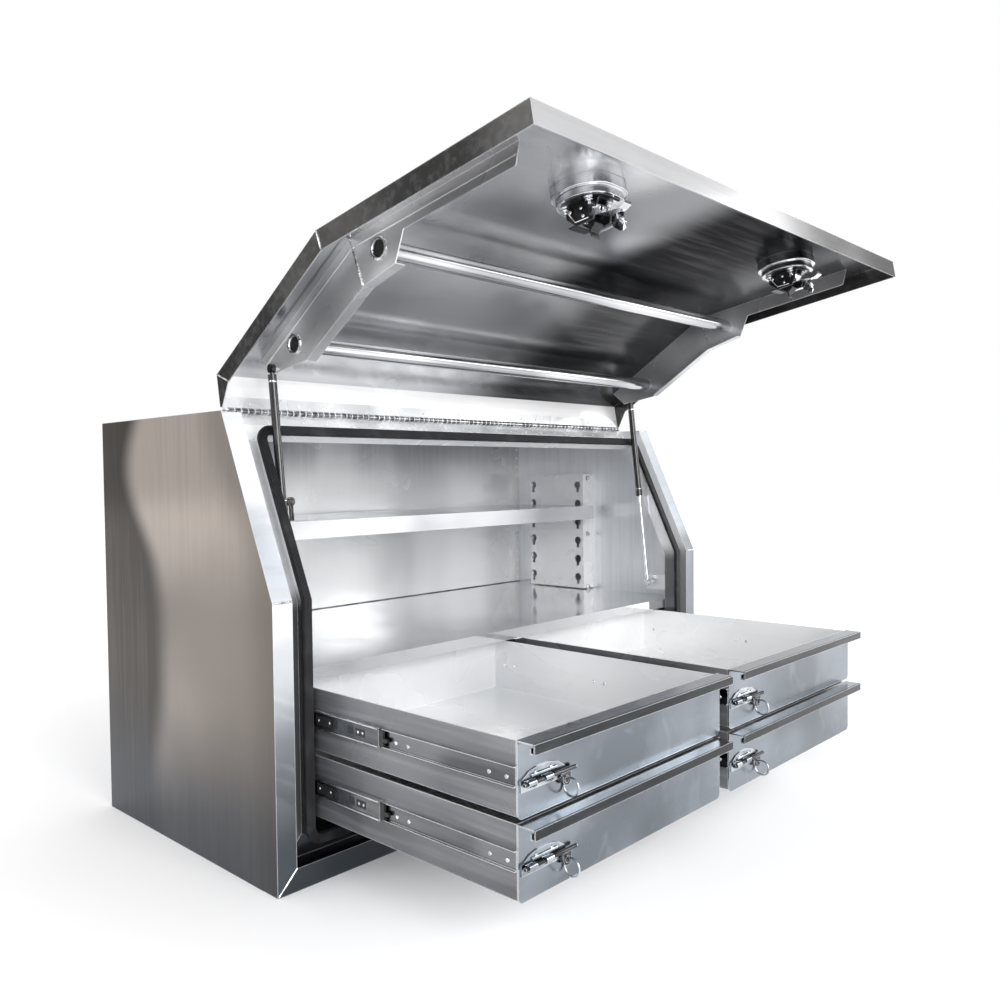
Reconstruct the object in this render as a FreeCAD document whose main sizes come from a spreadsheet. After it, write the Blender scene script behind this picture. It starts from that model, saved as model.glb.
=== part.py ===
import FreeCAD, Part
import math
import os

import Sketcher

# Aluminium storage box: a folded sheet box with a cranked front, a recessed lid held up by two
# gas struts, an upper compartment with a hook-in shelf, and four drawers on telescopic slides.
# Everything is in millimetres. X runs along the box, Y from front to back, Z up, and the origin
# is the middle of the underside. Pieces are drawn with Y counted from the front face.

doc = FreeCAD.newDocument("storage_box")

SIZES = {
    # box shell
    "box_length": 1300,
    "box_depth": 600,
    "box_height": 790,
    "knee_height": 475,
    "slope_setback": 142,
    "sheet": 2.5,
    # door frame folded round the opening
    "flange_width": 38,
    "gutter_depth": 40,
    "gutter_width": 39,
    "lip_length": 34,
    "header_drop": 37,
    "top_front": 206,
    # door seal
    "seal_outboard": 14.5,
    "seal_inboard": 3,
    "seal_nose": 2,
    "seal_depth": 10,
    "seal_corner": 30,
    "fit_gap": 0.3,
    # piano hinge
    "hinge_back": 203.5,
    "hinge_rise": 5.5,
    "knuckle_radius": 5.4,
    "knuckle_count": 20,
    "hinge_pin_radius": 2,
    "leaf_width": 26,
    "leaf_sheet": 1.5,
    "running_gap": 0.05,
    # lid
    "lid_open_angle": 99.73,
    "lid_side_gap": 1.5,
    "lid_foot_gap": 2.5,
    "lid_proud": 3.9,
    "lid_rise": 10.9,
    "lid_top_front": 138,
    "lid_back": 197,
    "lid_knee_drop": 0.7,
    "lid_sheet": 2,
    "lid_rim_depth": 34,
    # lid stiffening plates and cross tubes
    "lid_plate_inset": 105,
    "lid_plate_foot": 115,
    "lid_plate_step": 352,
    "lid_plate_rise": 26,
    "lid_strip_depth": 32,
    "lid_wide_depth": 75,
    "lid_knee_depth": 85,
    "lid_tube_radius": 15,
    "lid_tube_wall": 2,
    "lower_tube_back": 37,
    "lower_tube_height": 410,
    "upper_tube_back": 119,
    "upper_tube_drop": 149.9,
    # lid locks
    "lock_spacing": 674,
    "lock_height": 159,
    "lock_pan_length": 125,
    "lock_pan_width": 100,
    "lock_pan_depth": 18,
    "lock_step_depth": 12,
    "lock_step_inset": 6,
    "lock_pan_flange": 4,
    "lock_sheet": 1.5,
    "lock_cheek_depth": 30,
    "lock_cheek_length": 62,
    "lock_cheek_spread": 44,
    "lock_cheek_sheet": 3,
    "lock_pin_radius": 4,
    "lock_pin_drop": 18,
    "lock_pin_rise": 12,
    "claw_width": 18,
    "claw_radius": 9,
    "claw_reach": 46,
    "claw_crank": 24,
    "claw_tip_length": 10,
    "claw_tip_front": 5.5,
    "claw_tip_thickness": 4.5,
    "handle_length": 78,
    "handle_width": 46,
    "handle_sheet": 4,
    "handle_barrel_radius": 5,
    "handle_pin_radius": 2.5,
    "handle_pin_length": 8,
    "handle_ear_sheet": 2.5,
    "key_cylinder_radius": 9,
    "key_cylinder_length": 7,
    "striker_width": 34,
    "striker_lap": 17,
    "striker_rise": 21,
    "striker_sheet": 3,
    # gas struts
    "strut_inset": 95,
    "strut_foot_back": 80,
    "strut_foot_height": 392,
    "strut_head_back": 146.3,
    "strut_head_height": 712.1,
    "strut_eye_radius": 8,
    "strut_eye_width": 8,
    "strut_pin_radius": 4,
    "strut_pin_head": 2,
    "strut_tube_radius": 7.5,
    "strut_tube_length": 245,
    "strut_tube_wall": 1.5,
    "strut_neck": 3,
    "strut_collar_radius": 8.6,
    "strut_collar_length": 22,
    "strut_rod_radius": 3.5,
    "piston_length": 12,
    "bracket_height": 38,
    "bracket_reach": 55,
    # spare keys on the left strut
    "key_ring_radius": 13,
    "key_ring_wire": 0.9,
    "key_ring_height": 30,
    "key_bow_radius": 8,
    "key_hole_radius": 2.4,
    "key_blade_width": 6,
    "key_blade_length": 26,
    "key_sheet": 2,
    # upper compartment
    "floor_top": 349,
    "floor_front": 45,
    "floor_lip": 22,
    "hook_plate_front": 320.5,
    "hook_plate_width": 193,
    "hook_plate_lift": 3,
    "hook_plate_top": 675,
    "hook_plate_standoff": 45,
    "hook_plate_sheet": 2,
    "hook_plate_flange": 22,
    "hook_column_inset": 20,
    "hook_column_spread": 162,
    "hook_row_foot": 383,
    "hook_row_pitch": 52.2,
    "hook_head_radius": 11,
    "hook_slot_radius": 5,
    "hook_slot_drop": 15,
    "shelf_row_share": 4,
    "shelf_end_gap": 2.5,
    "shelf_front": 283,
    "shelf_depth": 277,
    "shelf_rise": 9.9,
    "shelf_flange": 36,
    "shelf_sheet": 2,
    "stud_head": 2,
    # drawer bay
    "bay_inset": 76.3,
    "bay_front": 42,
    "bay_sheet": 2,
    "bay_back_gap": 10,
    "divider_width": 25.6,
    "divider_step": 5,
    "right_wall_inset": 93.3,
    "right_wall_front": 72,
    # drawers
    "drawer_foot": 102,
    "drawer_stack": 113.5,
    "drawer_front_overhang": 16,
    "drawer_front_height": 108.5,
    "drawer_front_sheet": 2,
    "drawer_front_corner": 9,
    "drawer_open_front": 432,
    "tray_depth": 515,
    "tray_lift": 5,
    "tray_sheet": 1.6,
    "handle_reach": 30,
    "handle_drop": 14.5,
    "handle_return": 8,
    "handle_end_gap": 7,
    # telescopic slides
    "slide_thickness": 12.7,
    "slide_height": 35,
    "slide_sheet": 1.2,
    "slide_gap": 0.4,
    "slide_centre": 59.5,
    "slide_length": 500,
    "slide_flange": 7,
    "slide_middle_inset": 4.2,
    "slide_middle_front": 160,
    "slide_middle_length": 480,
    "slide_inner_length": 485,
    # drawer latches
    "latch_inset": 5,
    "latch_length": 95,
    "latch_foot": 36.5,
    "latch_height": 29,
    "latch_sheet": 2,
    "latch_shoulder": 13,
    "latch_dome": 17,
    "bolt_height": 47.5,
    "bolt_radius": 3,
    "bolt_length": 112,
    "bolt_inset": 6,
    "bolt_standoff": 6.5,
    "barrel_radius": 5,
    "barrel_inset": 7,
    "barrel_length": 16,
    "barrel_pitch": 36,
    "tab_centre": 97,
    "tab_drop": 13,
    "tab_radius": 9,
    "tab_hole_radius": 4.5,
    "tab_sheet": 2.5,
    "tab_neck": 10,
    "ring_radius": 13,
    "ring_wire": 1.6,
    # how far a cut runs past the piece
    "overrun": 5,
}

sheet_object = doc.addObject("Spreadsheet::Sheet", "Sizes")
for row, (alias, number) in enumerate(SIZES.items(), start=1):
    sheet_object.set(f"A{row}", alias)
    sheet_object.set(f"B{row}", str(number))
    sheet_object.setAlias(f"B{row}", alias)
doc.recompute()


class Size:
    """A length worked out from the sheet: its value now and the expression that gives it."""

    def __init__(self, value, text):
        self.value = value
        self.text = text

    def __add__(self, other):
        other = as_size(other)
        return Size(self.value + other.value, f"({self.text} + {other.text})")

    def __sub__(self, other):
        other = as_size(other)
        return Size(self.value - other.value, f"({self.text} - {other.text})")

    def __mul__(self, other):
        other = as_size(other)
        return Size(self.value * other.value, f"({self.text} * {other.text})")

    def __truediv__(self, other):
        other = as_size(other)
        return Size(self.value / other.value, f"({self.text} / {other.text})")

    def __neg__(self):
        return Size(-self.value, f"(-{self.text})")

    __radd__ = __add__

    def __rsub__(self, other):
        return as_size(other) - self

    __rmul__ = __mul__


def as_size(number):
    """The given number, or the size itself, as a size."""
    return number if isinstance(number, Size) else Size(number, str(number))


def size(alias):
    """One named size of the sheet."""
    return Size(float(sheet_object.get(alias)), f"Sizes.{alias}")


def root(area):
    return Size(math.sqrt(area.value), f"sqrt({area.text})")


def cosine(angle):
    return Size(math.cos(math.radians(angle.value)), f"cos({angle.text})")


def sine(angle):
    return Size(math.sin(math.radians(angle.value)), f"sin({angle.text})")


def slant(rise, run):
    """The angle in degrees whose tangent is rise over run."""
    return Size(math.degrees(math.atan(rise.value / run.value)), f"atan({rise.text} / {run.text})")


def body_of(label):
    """An empty body that a sub-part is built in."""
    body = doc.addObject("PartDesign::Body", label)
    body.Label = label
    return body


def place(piece, along=0, back=0, up=0, tip_back=0):
    """Set a piece: its own origin, Y counted from the box's front, tipped back about X."""
    piece.Placement = FreeCAD.Placement(
        FreeCAD.Vector(0, 0, 0), FreeCAD.Rotation(FreeCAD.Vector(-1, 0, 0), 1)
    )
    piece.setExpression("Placement.Base.x", as_size(along).text)
    piece.setExpression("Placement.Base.y", (as_size(back) - size("box_depth") / 2).text)
    piece.setExpression("Placement.Base.z", as_size(up).text)
    piece.setExpression("Placement.Rotation.Angle", as_size(tip_back).text)


PLANES = {"X": "YZ_Plane", "Y": "XZ_Plane", "Z": "XY_Plane"}


def sketch_on(body, axis, level=0):
    """A sketch square to an axis of its own body, at a level along that axis."""
    sketch = body.newObject("Sketcher::SketchObject", body.Label + "_sketch")
    role = PLANES[axis]
    plane = [item for item in body.Origin.OriginFeatures if item.Role == role][0]
    sketch.AttachmentSupport = [(plane, "")]
    sketch.MapMode = "FlatFace"
    offset = -as_size(level) if axis == "Y" else as_size(level)
    sketch.setExpression("AttachmentOffset.Base.z", offset.text)
    return sketch


def bind(sketch, kind, *place_and_value):
    """Add one dimension to a sketch and tie it to its expression."""
    *where, length = place_and_value
    index = sketch.addConstraint(Sketcher.Constraint(kind, *where, length.value))
    sketch.setExpression(f"Constraints[{index}]", length.text)


def draw_outline(sketch, points, closed=True):
    """Draw straight runs through points, each point tied to the sheet in both directions."""
    points = [(as_size(a), as_size(b)) for a, b in points]
    count = len(points)
    runs = count if closed else count - 1
    lines = []
    for index in range(runs):
        (a, b), (c, d) = points[index], points[(index + 1) % count]
        start = FreeCAD.Vector(a.value, b.value, 0)
        stop = FreeCAD.Vector(c.value, d.value, 0)
        lines.append(sketch.addGeometry(Part.LineSegment(start, stop), False))
    for index in range(runs if closed else runs - 1):
        joined = lines[(index + 1) % runs]
        sketch.addConstraint(Sketcher.Constraint("Coincident", lines[index], 2, joined, 1))
    for index, (across, upward) in enumerate(points):
        line, end = (lines[index], 1) if index < runs else (lines[-1], 2)
        bind(sketch, "DistanceX", -1, 1, line, end, across)
        bind(sketch, "DistanceY", -1, 1, line, end, upward)


def draw_circle(sketch, across, upward, radius):
    """Draw a circle tied to the sheet."""
    across, upward, radius = as_size(across), as_size(upward), as_size(radius)
    centre = FreeCAD.Vector(across.value, upward.value, 0)
    ring = sketch.addGeometry(Part.Circle(centre, FreeCAD.Vector(0, 0, 1), radius.value), False)
    bind(sketch, "DistanceX", -1, 1, ring, 3, across)
    bind(sketch, "DistanceY", -1, 1, ring, 3, upward)
    bind(sketch, "Radius", ring, radius)


def raise_sketch(body, sketch, axis, length, cut):
    """Pad a sketch, or cut with it, over a length along its axis."""
    kind = "PartDesign::Pocket" if cut else "PartDesign::Pad"
    feature = body.newObject(kind, body.Label + ("_cut" if cut else "_pad"))
    feature.Profile = sketch
    feature.Reversed = cut
    feature.setExpression("Length", length.text)
    return feature


def prism(body, axis, start, end, *outlines, circles=(), cut=False):
    """A straight solid or cut between two levels of an axis, of closed outlines and circles."""
    start, end = as_size(start), as_size(end)
    sketch = sketch_on(body, axis, end if axis == "Y" else start)
    for outline in outlines:
        draw_outline(sketch, outline)
    for circle in circles:
        draw_circle(sketch, *circle)
    return raise_sketch(body, sketch, axis, end - start, cut)


def box_outline(left, foot, right, top):
    return [(left, foot), (right, foot), (right, top), (left, top)]


def round_edges(body, axis, corners, radius):
    """Round the body's edges that run along an axis through the given corners."""
    doc.recompute()
    base = body.Tip
    number = "XYZ".index(axis)
    names = []
    for index, edge in enumerate(base.Shape.Edges, start=1):
        ends = [vertex.Point for vertex in edge.Vertexes]
        if len(ends) < 2:
            continue
        flat = [[value for k, value in enumerate(point) if k != number] for point in ends]
        for corner in corners:
            near = [math.dist(point, [as_size(c).value for c in corner]) for point in flat]
            if max(near) < size("running_gap").value:
                names.append(f"Edge{index}")
    fillet = body.newObject("PartDesign::Fillet", body.Label + "_round")
    fillet.Base = (base, sorted(set(names)))
    fillet.setExpression("Radius", as_size(radius).text)
    return fillet


def sweep(body, profile, path):
    """Sweep a profile drawn square to Z along a path in the YZ plane, mitred at its corners."""
    spine = sketch_on(body, "X")
    draw_outline(spine, path, closed=False)
    section = sketch_on(body, "Z")
    draw_outline(section, profile)
    pipe = body.newObject("PartDesign::AdditivePipe", body.Label + "_strip")
    pipe.Profile = section
    pipe.Spine = spine
    pipe.Transition = "Right corner"
    return pipe


def turn(body, outline):
    """Turn a closed half profile, drawn as radius and height, about the body's Z axis."""
    sketch = sketch_on(body, "Y")
    draw_outline(sketch, outline)
    feature = body.newObject("PartDesign::Revolution", body.Label + "_turned")
    feature.Profile = sketch
    feature.ReferenceAxis = (sketch, ["V_Axis"])
    feature.Angle = 360
    return feature


def mirror(label, source):
    """The other-handed copy of a piece, across the box's middle."""
    copy = doc.addObject("Part::Mirroring", label)
    copy.Label = label
    copy.Source = source
    copy.Base = FreeCAD.Vector(0, 0, 0)
    copy.Normal = FreeCAD.Vector(1, 0, 0)
    return copy


def group(label, *members):
    """Like pieces of one body kept together as separate solids."""
    together = doc.addObject("Part::Compound", label)
    together.Label = label
    together.Links = list(members)
    return together


NODES = []


def keep(*pieces):
    """List finished sub-parts for writing."""
    NODES.extend(pieces)


# Shorthand for the sizes that many pieces share
half = size("box_length") / 2
depth = size("box_depth")
height = size("box_height")
knee = size("knee_height")
setback = size("slope_setback")
sheet = size("sheet")
flange = size("flange_width")
gutter = size("gutter_depth")
lip_edge = flange + size("gutter_width")
lip_front = gutter - size("lip_length")
drop = size("header_drop")
over = size("overrun")
gap = size("fit_gap")
running = size("running_gap")

# The sloped front: unit steps down the slope and inwards from it, as Y and Z shares
slope_rise = height - knee
slope_length = root(setback * setback + slope_rise * slope_rise)
slope_y_share = setback / slope_length
slope_z_share = slope_rise / slope_length


def on_slope(down, inward):
    """A point on the sloped front, down from its top edge and in from its face."""
    return (
        setback - down * slope_y_share + inward * slope_z_share,
        height - down * slope_z_share - inward * slope_y_share,
    )


def side_panel():
    """Side sheet, with the flange, gutter and seal lip of the door frame folded and mitred."""
    body = body_of("left_side_panel")
    outline = [(0, 0), (depth, 0), (depth, height), (setback, height), (0, knee)]
    prism(body, "X", -half, sheet - half, outline)
    rim = [
        (-half, 0),
        (flange - half, 0),
        (flange - half, gutter),
        (flange - sheet - half, gutter),
        (flange - sheet - half, sheet),
        (-half, sheet),
    ]
    sweep(body, rim, [(0, 0), (0, knee), (setback, height), (size("top_front"), height)])
    lip = [
        (flange - sheet - half, gutter - sheet),
        (lip_edge - sheet - half, gutter - sheet),
        (lip_edge - sheet - half, lip_front),
        (lip_edge - half, lip_front),
        (lip_edge - half, gutter),
        (flange - sheet - half, gutter),
    ]
    sweep(body, lip, [(0, 0), (0, knee), on_slope(drop, as_size(0))])
    reach = lip_edge + over
    mitre = [(-half, 0), (reach - half, 0), (reach - half, reach)]
    prism(body, "Y", -over, gutter, mitre, cut=True)
    place(body)
    return body


left_side = side_panel()
right_side = mirror("right_side_panel", left_side)
keep(left_side, right_side)


def base_panel():
    """Floor sheet with the front sill folded up from it, mitred into the side frames."""
    body = body_of("base_panel")
    sill = [
        (0, 0),
        (gutter, 0),
        (gutter, sheet),
        (sheet, sheet),
        (sheet, flange - sheet),
        (gutter, flange - sheet),
        (gutter, lip_edge),
        (lip_front, lip_edge),
        (lip_front, lip_edge - sheet),
        (gutter - sheet, lip_edge - sheet),
        (gutter - sheet, flange),
        (0, flange),
    ]
    prism(body, "X", -half, half, sill)
    reach = lip_edge + over
    left_mitre = [(-half, 0), (reach - half, reach), (-half, reach)]
    right_mitre = [(half, 0), (half, reach), (half - reach, reach)]
    prism(body, "Y", -over, gutter + over, left_mitre, right_mitre, cut=True)
    floor = box_outline(gutter, 0, depth - sheet, sheet)
    prism(body, "X", sheet - half, half - sheet, floor)
    place(body)
    return body


def back_panel():
    """Rear sheet between the two sides."""
    body = body_of("back_panel")
    outline = box_outline(sheet - half, 0, half - sheet, height)
    prism(body, "Y", depth - sheet, depth, outline)
    place(body)
    return body


def top_panel():
    """Top sheet, from the hinge line to the back."""
    body = body_of("top_panel")
    outline = box_outline(size("top_front"), height - sheet, depth - sheet, height)
    prism(body, "X", sheet - half, half - sheet, outline)
    place(body)
    return body


def header_panel():
    """Folded sheet that comes down from the hinge and ends in the seal's top lip."""
    body = body_of("header_panel")
    top_front = size("top_front")
    outline = [
        (top_front, height),
        on_slope(drop - sheet, gutter - sheet),
        on_slope(drop, gutter - sheet),
        on_slope(drop, gutter),
        (top_front + sheet / 2, height - sheet),
        (top_front, height - sheet),
    ]
    prism(body, "X", flange - half, half - flange, outline)
    lip = [
        on_slope(drop - sheet, gutter - sheet),
        on_slope(drop - sheet, lip_front),
        on_slope(drop, lip_front),
        on_slope(drop, gutter - sheet),
    ]
    lip_half = half - lip_edge + sheet
    prism(body, "X", -lip_half, lip_half, lip)
    place(body)
    return body


keep(base_panel(), back_panel(), top_panel(), header_panel())


def door_seal():
    """Rubber section pushed over the lip all round the opening, bent at the knee."""
    body = body_of("door_seal")
    outer = lip_edge - size("seal_outboard")
    inner = lip_edge + size("seal_inboard")
    nose, tail = size("seal_nose"), size("seal_depth")
    lower = [
        (outer - half, knee),
        (outer - half, outer),
        (half - outer, outer),
        (half - outer, knee),
        (half - inner, knee),
        (half - inner, inner),
        (inner - half, inner),
        (inner - half, knee),
    ]
    prism(body, "Y", nose, tail, lower)
    corner = size("seal_corner")
    bend = corner - (inner - outer)
    round_edges(body, "Y", [(outer - half, outer), (half - outer, outer)], corner)
    round_edges(body, "Y", [(inner - half, inner), (half - inner, inner)], bend)
    top_outer = slope_length - drop + size("seal_outboard")
    top_inner = slope_length - drop - size("seal_inboard")
    upper = [
        (outer - half, 0),
        (inner - half, 0),
        (inner - half, top_inner),
        (half - inner, top_inner),
        (half - inner, 0),
        (half - outer, 0),
        (half - outer, top_outer),
        (outer - half, top_outer),
    ]
    lip_slot = [
        (lip_edge - sheet - gap - half, 0),
        (lip_edge + gap - half, 0),
        (lip_edge + gap - half, slope_length - drop - gap),
        (half - lip_edge - gap, slope_length - drop - gap),
        (half - lip_edge - gap, 0),
        (half - lip_edge + sheet + gap, 0),
        (half - lip_edge + sheet + gap, slope_length - drop + sheet + gap),
        (lip_edge - sheet - gap - half, slope_length - drop + sheet + gap),
    ]
    for outline, start, end, cut in (
        (upper, nose, tail, False),
        (lip_slot, lip_front - gap, tail + over, True),
    ):
        sketch = sketch_on(body, "Y")
        sketch.AttachmentOffset = FreeCAD.Placement(
            FreeCAD.Vector(0, 0, 0), FreeCAD.Rotation(FreeCAD.Vector(-1, 0, 0), 1)
        )
        sketch.setExpression("AttachmentOffset.Rotation.Angle", slant(setback, slope_rise).text)
        sketch.setExpression("AttachmentOffset.Base.y", (knee - end * slope_y_share).text)
        sketch.setExpression("AttachmentOffset.Base.z", (-(end * slope_z_share)).text)
        draw_outline(sketch, outline)
        raise_sketch(body, sketch, "Y", end - start, cut)
    front_slot = [
        (lip_edge - sheet - gap - half, knee),
        (lip_edge - sheet - gap - half, lip_edge - sheet - gap),
        (half - lip_edge + sheet + gap, lip_edge - sheet - gap),
        (half - lip_edge + sheet + gap, knee),
        (half - lip_edge - gap, knee),
        (half - lip_edge - gap, lip_edge + gap),
        (lip_edge + gap - half, lip_edge + gap),
        (lip_edge + gap - half, knee),
    ]
    prism(body, "Y", lip_front - gap, tail + over, front_slot, cut=True)
    place(body)
    return body


keep(door_seal())

# Piano hinge: the axis lies just above the header's top edge
hinge_y = size("hinge_back")
hinge_z = height + size("hinge_rise")
knuckle = size("knuckle_radius")
hinge_half = half - flange - size("lid_side_gap") - size("lid_sheet") - size("lid_side_gap")
knuckle_pitch = hinge_half * 2 / size("knuckle_count")
leaf = size("leaf_sheet")
leaf_width = size("leaf_width")


def knuckle_levels(first):
    """The start and end along X of every second knuckle."""
    count = round(size("knuckle_count").value)
    levels = []
    for index in range(first, count, 2):
        start = knuckle_pitch * index - hinge_half
        levels.append((start + gap / 2, start + knuckle_pitch - gap / 2))
    return levels


def hinge_leaf(label, leaf_outline, tab_outline, first):
    """A piano hinge leaf with its rolled knuckles, bored for the pin."""
    body = body_of(label)
    prism(body, "X", -hinge_half, hinge_half, leaf_outline)
    bore = size("hinge_pin_radius") + running
    for start, end in knuckle_levels(first):
        prism(body, "X", start, end, circles=[(hinge_y, hinge_z, knuckle)])
        prism(body, "X", start, end, tab_outline)
    prism(body, "X", -half, half, circles=[(hinge_y, hinge_z, bore)], cut=True)
    return body


def box_leaf():
    """Leaf riveted to the front of the header."""
    top_front = size("top_front")
    root_y, root_z = on_slope(drop - sheet, gutter - sheet)
    run_y, run_z = top_front - root_y, height - root_z
    length = root(run_y * run_y + run_z * run_z)
    down_y_share, down_z_share = run_y / length, run_z / length

    def on_header(down, forward):
        return (
            top_front - down * down_y_share - forward * down_z_share,
            height - down * down_z_share + forward * down_y_share,
        )

    clear = knuckle + gap
    leaf_outline = [
        on_header(clear, as_size(0)),
        on_header(clear, leaf),
        on_header(leaf_width, leaf),
        on_header(leaf_width, as_size(0)),
    ]
    tab_outline = [
        on_header(clear + leaf, as_size(0)),
        on_header(clear + leaf, leaf),
        on_header(as_size(0), leaf + leaf / 2),
        on_header(as_size(0), gap),
    ]
    body = hinge_leaf("box_hinge_leaf", leaf_outline, tab_outline, 0)
    place(body)
    return body


def hinge_pin():
    """Steel pin through every knuckle."""
    body = body_of("hinge_pin")
    circles = [(hinge_y, hinge_z, size("hinge_pin_radius"))]
    prism(body, "X", -hinge_half, hinge_half, circles=circles)
    place(body)
    return body


keep(box_leaf(), hinge_pin())

# Lid, drawn shut and then swung open about the hinge
open_angle = size("lid_open_angle")
lid_half = half - flange - size("lid_side_gap")
lid_foot = flange + size("lid_foot_gap")
lid_front = -size("lid_proud")
lid_top = height + size("lid_rise")
lid_brow = size("lid_top_front")
lid_back = size("lid_back")
lid_knee = knee - size("lid_knee_drop")
skin = size("lid_sheet")
rim = size("lid_rim_depth")
lid_run = lid_brow - lid_front
lid_drop = lid_top - lid_knee
lid_slope = root(lid_run * lid_run + lid_drop * lid_drop)
lid_y_share = lid_run / lid_slope
lid_z_share = lid_drop / lid_slope


def swung(back, up):
    """Where a point of the shut lid lies once the lid is open."""
    away_y, away_z = back - hinge_y, up - hinge_z
    turn_cos, turn_sin = cosine(open_angle), sine(open_angle)
    return (
        hinge_y + away_y * turn_cos + away_z * turn_sin,
        hinge_z - away_y * turn_sin + away_z * turn_cos,
    )


def place_on_lid(piece):
    """Swing a piece that was drawn on the shut lid."""
    back, up = swung(as_size(0), as_size(0))
    place(piece, 0, back, up, open_angle)


def lid_knee_point(inward):
    """The knee of the lid at a depth in from its skin."""
    return (lid_front + inward, lid_knee - inward * (1 - lid_z_share) / lid_y_share)


def lid_brow_point(inward):
    """The upper bend of the lid at a depth in from its skin."""
    return (lid_brow + inward * (1 - lid_y_share) / lid_z_share, lid_top - inward)


def on_lid_slope(down, inward):
    """A point on the lid's sloped part, down from its upper bend and in from its skin."""
    return (
        lid_brow - down * lid_y_share + inward * lid_z_share,
        lid_top - down * lid_z_share - inward * lid_y_share,
    )


pan_x = size("lock_spacing") / 2
pan_z = size("lock_height")
pan_length, pan_width = size("lock_pan_length"), size("lock_pan_width")
lock_sheet = size("lock_sheet")


def stadium(body, start, end, side, length, width, cut=False):
    """A flat-sided oval, square to the lid's lower face, centred on one lock."""
    radius = width / 2
    straight = length / 2 - radius
    middle = pan_x * side
    outline = box_outline(middle - straight, pan_z - radius, middle + straight, pan_z + radius)
    prism(body, "Y", start, end, outline, cut=cut)
    for end_side in (-1, 1):
        circle = (middle + straight * end_side, pan_z, radius)
        prism(body, "Y", start, end, circles=[circle], cut=cut)


def lid_shell():
    """Lid skin with its edges turned in, and an oval opening for each lock."""
    body = body_of("lid_shell")
    outline = [
        (lid_back, lid_top),
        (lid_brow, lid_top),
        (lid_front, lid_knee),
        (lid_front, lid_foot),
        (lid_front + rim, lid_foot),
        lid_knee_point(rim),
        lid_brow_point(rim),
        (lid_back, hinge_z - skin),
    ]
    prism(body, "X", -lid_half, lid_half, outline)
    hollow = [
        (lid_back + over, lid_top - skin),
        lid_brow_point(skin),
        lid_knee_point(skin),
        (lid_front + skin, lid_foot + skin),
        (lid_back + over, lid_foot + skin),
    ]
    prism(body, "X", skin - lid_half, lid_half - skin, hollow, cut=True)
    for side in (-1, 1):
        clear = gap * 2
        stadium(body, lid_front - over, lid_front + skin + over, side,
                pan_length + clear, pan_width + clear, cut=True)
    place_on_lid(body)
    return body


def lid_leaf():
    """Leaf riveted under the lid's back edge."""
    top = lid_top - skin
    edge = hinge_y - knuckle - gap
    leaf_outline = box_outline(hinge_y - leaf_width, top - leaf, edge, top)
    tab_outline = box_outline(edge - leaf, top - leaf, hinge_y - knuckle / 2, top)
    body = hinge_leaf("lid_hinge_leaf", leaf_outline, tab_outline, 1)
    place_on_lid(body)
    return body


plate_x = half - size("lid_plate_inset")
strut_x = half - size("strut_inset")
tube_centres = [
    (size("lower_tube_back"), size("lower_tube_height")),
    (size("upper_tube_back"), lid_top - size("upper_tube_drop")),
]


def lid_side_plate():
    """Stiffening plate inside one end of the lid, with holes for the tubes and the strut's stud."""
    body = body_of("lid_left_plate")
    strip, wide, deep = size("lid_strip_depth"), size("lid_wide_depth"), size("lid_knee_depth")
    foot, step, rise = size("lid_plate_foot"), size("lid_plate_step"), size("lid_plate_rise")
    head = drop + size("lid_tube_radius")
    outline = [
        (lid_front + skin, foot),
        (lid_front + strip, foot + rise / 2),
        (lid_front + strip, step),
        (lid_front + wide, step + rise),
        lid_knee_point(deep),
        on_lid_slope(head * 3, deep),
        on_lid_slope(head + rise / 2, deep / 2 + skin),
        on_lid_slope(head, skin),
        lid_knee_point(skin),
    ]
    prism(body, "X", -plate_x, skin - plate_x, outline)
    hole = size("lid_tube_radius") + running
    circles = [(back, up, hole) for back, up in tube_centres]
    prism(body, "X", -plate_x - over, over - plate_x, circles=circles, cut=True)
    stud = (size("strut_head_back"), size("strut_head_height"), size("strut_pin_radius"))
    stud_end = size("strut_eye_width") / 2 + gap - strut_x
    prism(body, "X", stud_end, skin - plate_x, circles=[stud])
    return body


def lid_side_plates():
    left = lid_side_plate()
    pair = group("lid_side_plates", left, mirror("lid_right_plate", left))
    place_on_lid(pair)
    return pair


def lid_cross_tubes():
    """Two stiffening tubes welded through the side plates, open at their ends."""
    tubes = []
    for name, (back, up) in zip(("lid_lower_tube", "lid_upper_tube"), tube_centres):
        body = body_of(name)
        outer = size("lid_tube_radius")
        prism(body, "X", -plate_x, plate_x, circles=[(back, up, outer)])
        bore = outer - size("lid_tube_wall")
        prism(body, "X", -plate_x - over, plate_x + over, circles=[(back, up, bore)], cut=True)
        tubes.append(body)
    pair = group("lid_cross_tubes", *tubes)
    place_on_lid(pair)
    return pair


keep(lid_shell(), lid_leaf(), lid_side_plates(), lid_cross_tubes())

# Lid locks: a stepped oval pan, two cheeks with a cross pin, a claw and a paddle handle
pan_floor = lid_front + size("lock_pan_depth") + size("lock_step_depth")
pin_y = pan_floor + size("lock_pin_rise")
pin_z = pan_z - size("lock_pin_drop")
cheek_half = size("lock_cheek_spread") / 2
cheek_sheet = size("lock_cheek_sheet")
handle_z = pan_z + size("handle_width") / 2
barrel_y = lid_front + size("handle_sheet")
barrel_radius = size("handle_barrel_radius")
barrel_half = size("handle_length") / 4


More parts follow.
